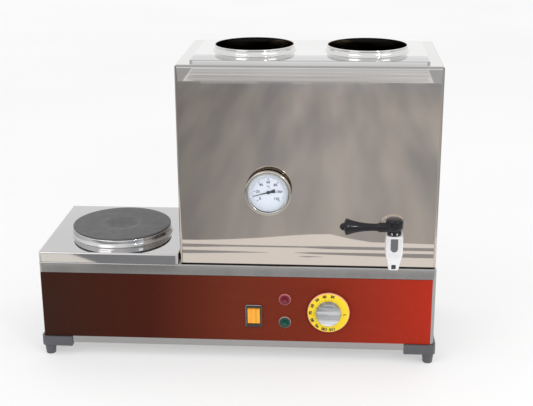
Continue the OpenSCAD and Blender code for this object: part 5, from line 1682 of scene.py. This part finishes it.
@dataclass
class Studio:
    """Pale floor, soft light, reflection cards and the camera.

    Attributes:
        eye: Place of the camera in metres.
        yaw: Turn of the view to the right in radians.
        pitch: Tilt of the view downwards in radians.
        roll: Turn about the line of sight in radians.
        lens: Focal length on a sensor 36 mm wide.
        floor_half: Half width of the floor in metres.
        sky: Strength of the light from all round.
        dark: Darker tone of the cloth, and of the lines.
        light: Lighter tone of the cloth.
        floor_glow: Strength of the floor's own light.
        lamps: Name, place, size and power of each lamp.
        cloth_edge: Near edge of the cloth as X and Y in metres.
    """

    eye: Triple = (0.1745, -1.8272, 0.8573)
    yaw: float = -0.069319
    pitch: float = 0.315415
    roll: float = 0.005435
    lens: float = 71.35
    floor_half: float = 14.0
    sky: float = 1.0
    dark: Colour = (0.355, 0.366, 0.388)
    light: Colour = (0.525, 0.52, 0.515)
    floor_glow: float = 0.42
    lamps: tuple[tuple[str, Triple, float, float], ...] = (
        ("key", (-1.6, -2.0, 2.6), 1.6, 13.0), ("fill", (2.4, -1.4, 1.8), 1.2, 5.0),
        ("glint", (1.32, -1.84, 1.26), 0.20, 8.0))
    cloth_edge: tuple[Point, ...] = (
        (-3.0, -0.72), (-0.19, -0.720), (-0.15, -0.720), (-0.08, -0.728), (-0.006, -0.742), (0.066, -0.762),
        (0.114, -0.773), (0.162, -0.776), (0.210, -0.746), (0.258, -0.726), (0.354, -0.721), (0.391, -0.719),
        (3.5, -0.71))

    def camera(self) -> None:
        """Sets the camera at the photograph's place and angle."""
        data = bpy.data.cameras.new("camera")
        data.lens = self.lens
        data.sensor_width = 36.0
        data.clip_end = 60.0
        camera = bpy.data.objects.new("camera", data)
        bpy.context.scene.collection.objects.link(camera)
        ahead = Vector((math.sin(self.yaw) * math.cos(self.pitch), math.cos(self.yaw) * math.cos(self.pitch),
                        -math.sin(self.pitch)))
        right = Vector((math.cos(self.yaw), -math.sin(self.yaw), 0))
        down = ahead.cross(right)
        across = right * math.cos(self.roll) + down * math.sin(self.roll)
        below = down * math.cos(self.roll) - right * math.sin(self.roll)
        turn = Matrix((across, -below, -ahead)).transposed()
        camera.matrix_world = Matrix.Translation(Vector(self.eye)) @ turn.to_4x4()
        bpy.context.scene.camera = camera

    def floor(self) -> None:
        """Lays the pale floor."""
        clear()
        bpy.ops.mesh.primitive_plane_add(size=2 * self.floor_half)
        floor = bpy.context.object
        floor.name = "floor"
        desk = NodeDesk("pale floor")
        desk.set(Roughness=0.9, Specular_IOR_Level=0.1)
        desk.set(Emission_Color=(1, 1, 1, 1), Emission_Strength=self.floor_glow)
        desk.colour(desk.ramp(desk.noise(0.8, 2.0), [(0.3, grey(0.50)), (0.7, grey(0.53))]))
        floor.data.materials.append(desk.material)

    def card(self, name: str, spots: Sequence[Triple], stops: Stops, grains: Triple = (1.6, 0.5, 1.0),
             fade: Sequence[Point] = ()) -> None:
        """Lays a card on the floor that only shows in reflections.

        Args:
            name: Name of the card.
            spots: Places along it as X, near edge and far edge, in metres.
            stops: Its colours along a noise from 0 to 1.
            grains: Patches per metre along X, Y and Z.
            fade: Shares of its brightness along X, as (X in metres, share).
        """
        clear()
        high, last = 10.0, len(spots) - 1
        bpy.ops.mesh.primitive_grid_add(x_subdivisions=last, y_subdivisions=1, size=1, location=(0, 0, high))
        card = settle(bpy.context.object)
        card.name = name
        with editing(card, Pick.CORNERS):
            for i, (x, near, far) in enumerate(spots):
                for side, y in ((0.5, near), (-0.5, far)):
                    start = Vector((i / last - 0.5, side, high))
                    pick(card, Pick.CORNERS, lambda at, _: (at * MM - start).length < 0.001)
                    bpy.ops.transform.translate(value=Vector((x, y, 0.001)) - start)
        desk = NodeDesk(name)
        desk.set(Roughness=1.0, Specular_IOR_Level=0.0)
        tone = desk.ramp(desk.noise(1.0, 2.0, 0.5, grains), stops)
        if fade:
            tone = desk.multiply(tone, desk.bands("X", [(x / MM, grey(share)) for x, share in fade]))
        desk.colour(tone)
        card.data.materials.append(desk.material)
        card.visible_camera = card.visible_diffuse = card.visible_shadow = card.visible_transmission = False

    def plain(self, name: str, low: Point, high: Point, tone: float) -> None:
        """Lays a rectangular card of one slightly cloudy grey."""
        self.card(name, ((low[0], high[1], low[1]), (high[0], high[1], low[1])),
                  ((0.3, grey(tone * 0.9)), (0.7, grey(tone * 1.1))))

    def cloth(self) -> None:
        """Lays the clouded cloth that the lower front reflects, with its streaks and what lies beyond."""
        self.card("cloth", [(x, near, -2.58) for x, near in self.cloth_edge],
                  ((0.34, self.dark), (0.66, self.light)), (7.5, 0.9, 1.0),
                  ((-0.45, 0.58), (-0.25, 0.66), (0.0, 0.94), (0.2, 0.98), (0.36, 0.90), (0.6, 0.95)))
        for name, near, far, low, high, left, right in (
                ("streaks_1", -2.54, -2.59, 0.50, 0.62, -0.41, 0.30),
                ("streaks_2", -2.59, -2.68, 0.52, 0.76, -0.445, 0.54),
                ("streaks_3", -2.68, -2.86, 0.52, 0.90, -0.45, 0.55)):
            spots = ((left, near - 0.02, far), (left + 0.03, near, far), (right - 0.1, near, far),
                     (right, near - 0.02, far))
            self.card(name, spots, ((0.40, grey(low)), (0.60, grey(high))), (0.9, 45.0, 1.0))
        self.plain("corner_left", (-0.80, -2.865), (-0.455, -2.585), 0.46)
        self.plain("corner_right", (0.555, -2.865), (1.4, -2.585), 0.50)
        self.plain("far", (-3.0, -3.6), (3.5, -2.87), 0.38)

    def table_edge(self) -> None:
        """Lays the dark lines, the wedge and the warm patch near the foot of the urn."""
        line = ((0.3, self.dark), (0.7, self.dark))
        self.card("line_1", ((-0.6, -0.671, -0.696), (-0.15, -0.673, -0.694), (-0.08, -0.679, -0.691),
                             (0.10, -0.681, -0.690), (0.16, -0.674, -0.693), (0.9, -0.669, -0.693)), line)
        self.card("line_2", ((-0.6, -0.628, -0.655), (-0.15, -0.632, -0.653), (-0.08, -0.638, -0.651),
                             (0.02, -0.645, -0.647)), line)
        self.card("line_3", ((0.08, -0.647, -0.648), (0.12, -0.641, -0.652), (0.35, -0.628, -0.654),
                             (0.9, -0.627, -0.654)), line)
        self.card("line_4", ((0.09, -0.623, -0.624), (0.11, -0.620, -0.627), (0.15, -0.623, -0.624)), line)
        self.card("wedge", ((-0.460, -0.642, -0.644), (-0.405, -0.60, -0.65), (-0.35, -0.560, -0.655),
                            (-0.177, -0.556, -0.655)), ((0.3, (0.26, 0.26, 0.27)), (0.7, (0.32, 0.32, 0.33))))
        self.card("warm", ((-0.9, -0.556, -0.66), (-0.48, -0.556, -0.66), (-0.462, -0.556, -0.642),
                           (-0.408, -0.556, -0.60), (-0.352, -0.556, -0.562)),
                  ((0.3, (1.0, 0.95, 0.88)), (0.7, (1.0, 0.97, 0.91))))

    def surroundings(self) -> None:
        """Lays the plain cards close in front, behind and at both sides."""
        self.plain("near", (-0.9, -0.555), (0.9, -0.49), 0.38)
        self.plain("rear", (-3.0, 0.80), (3.5, 3.6), 0.45)
        self.plain("left", (-3.6, -0.70), (-1.0, 0.80), 0.42)
        self.plain("right", (1.0, -0.70), (3.6, 0.80), 0.42)

    def lights(self) -> None:
        """Lights the studio from all round and with its lamps."""
        world = bpy.data.worlds.new("studio")
        bpy.context.scene.world = world
        world.use_nodes = True
        sky = world.node_tree.nodes["Background"]
        sky.inputs["Color"].default_value = (1, 1, 1, 1)
        sky.inputs["Strength"].default_value = self.sky
        for name, spot, size, power in self.lamps:
            data = bpy.data.lights.new(name, "AREA")
            data.shape = "RECTANGLE"
            data.size = data.size_y = size
            data.energy = power
            lamp = bpy.data.objects.new(name, data)
            bpy.context.scene.collection.objects.link(lamp)
            aim = Vector((0, 0, 0.3)) - Vector(spot)
            turn = aim.to_track_quat("-Z", "Y").to_matrix().to_4x4()
            lamp.matrix_world = Matrix.Translation(Vector(spot)) @ turn

    def build(self) -> None:
        """Sets up the studio."""
        self.camera()
        self.floor()
        self.cloth()
        self.table_edge()
        self.surroundings()
        self.lights()
        bpy.context.scene.view_settings.view_transform = "Standard"


def main() -> None:
    """Builds the studio and every sub-assembly in order."""
    logging.basicConfig(level=logging.INFO, format="%(message)s")
    Studio().build()
    for part in (BaseCabinet(), CableGland(), HotPlate(), WaterTank(), Thermometer(), LeverTap(),
                 RockerSwitch(), SignalLamps(), Thermostat(), CrossScrews()):
        part.build()
        LOG.info("%s: %d pieces made", type(part).__name__, len(part.made))


if __name__ == "__main__":
    main()
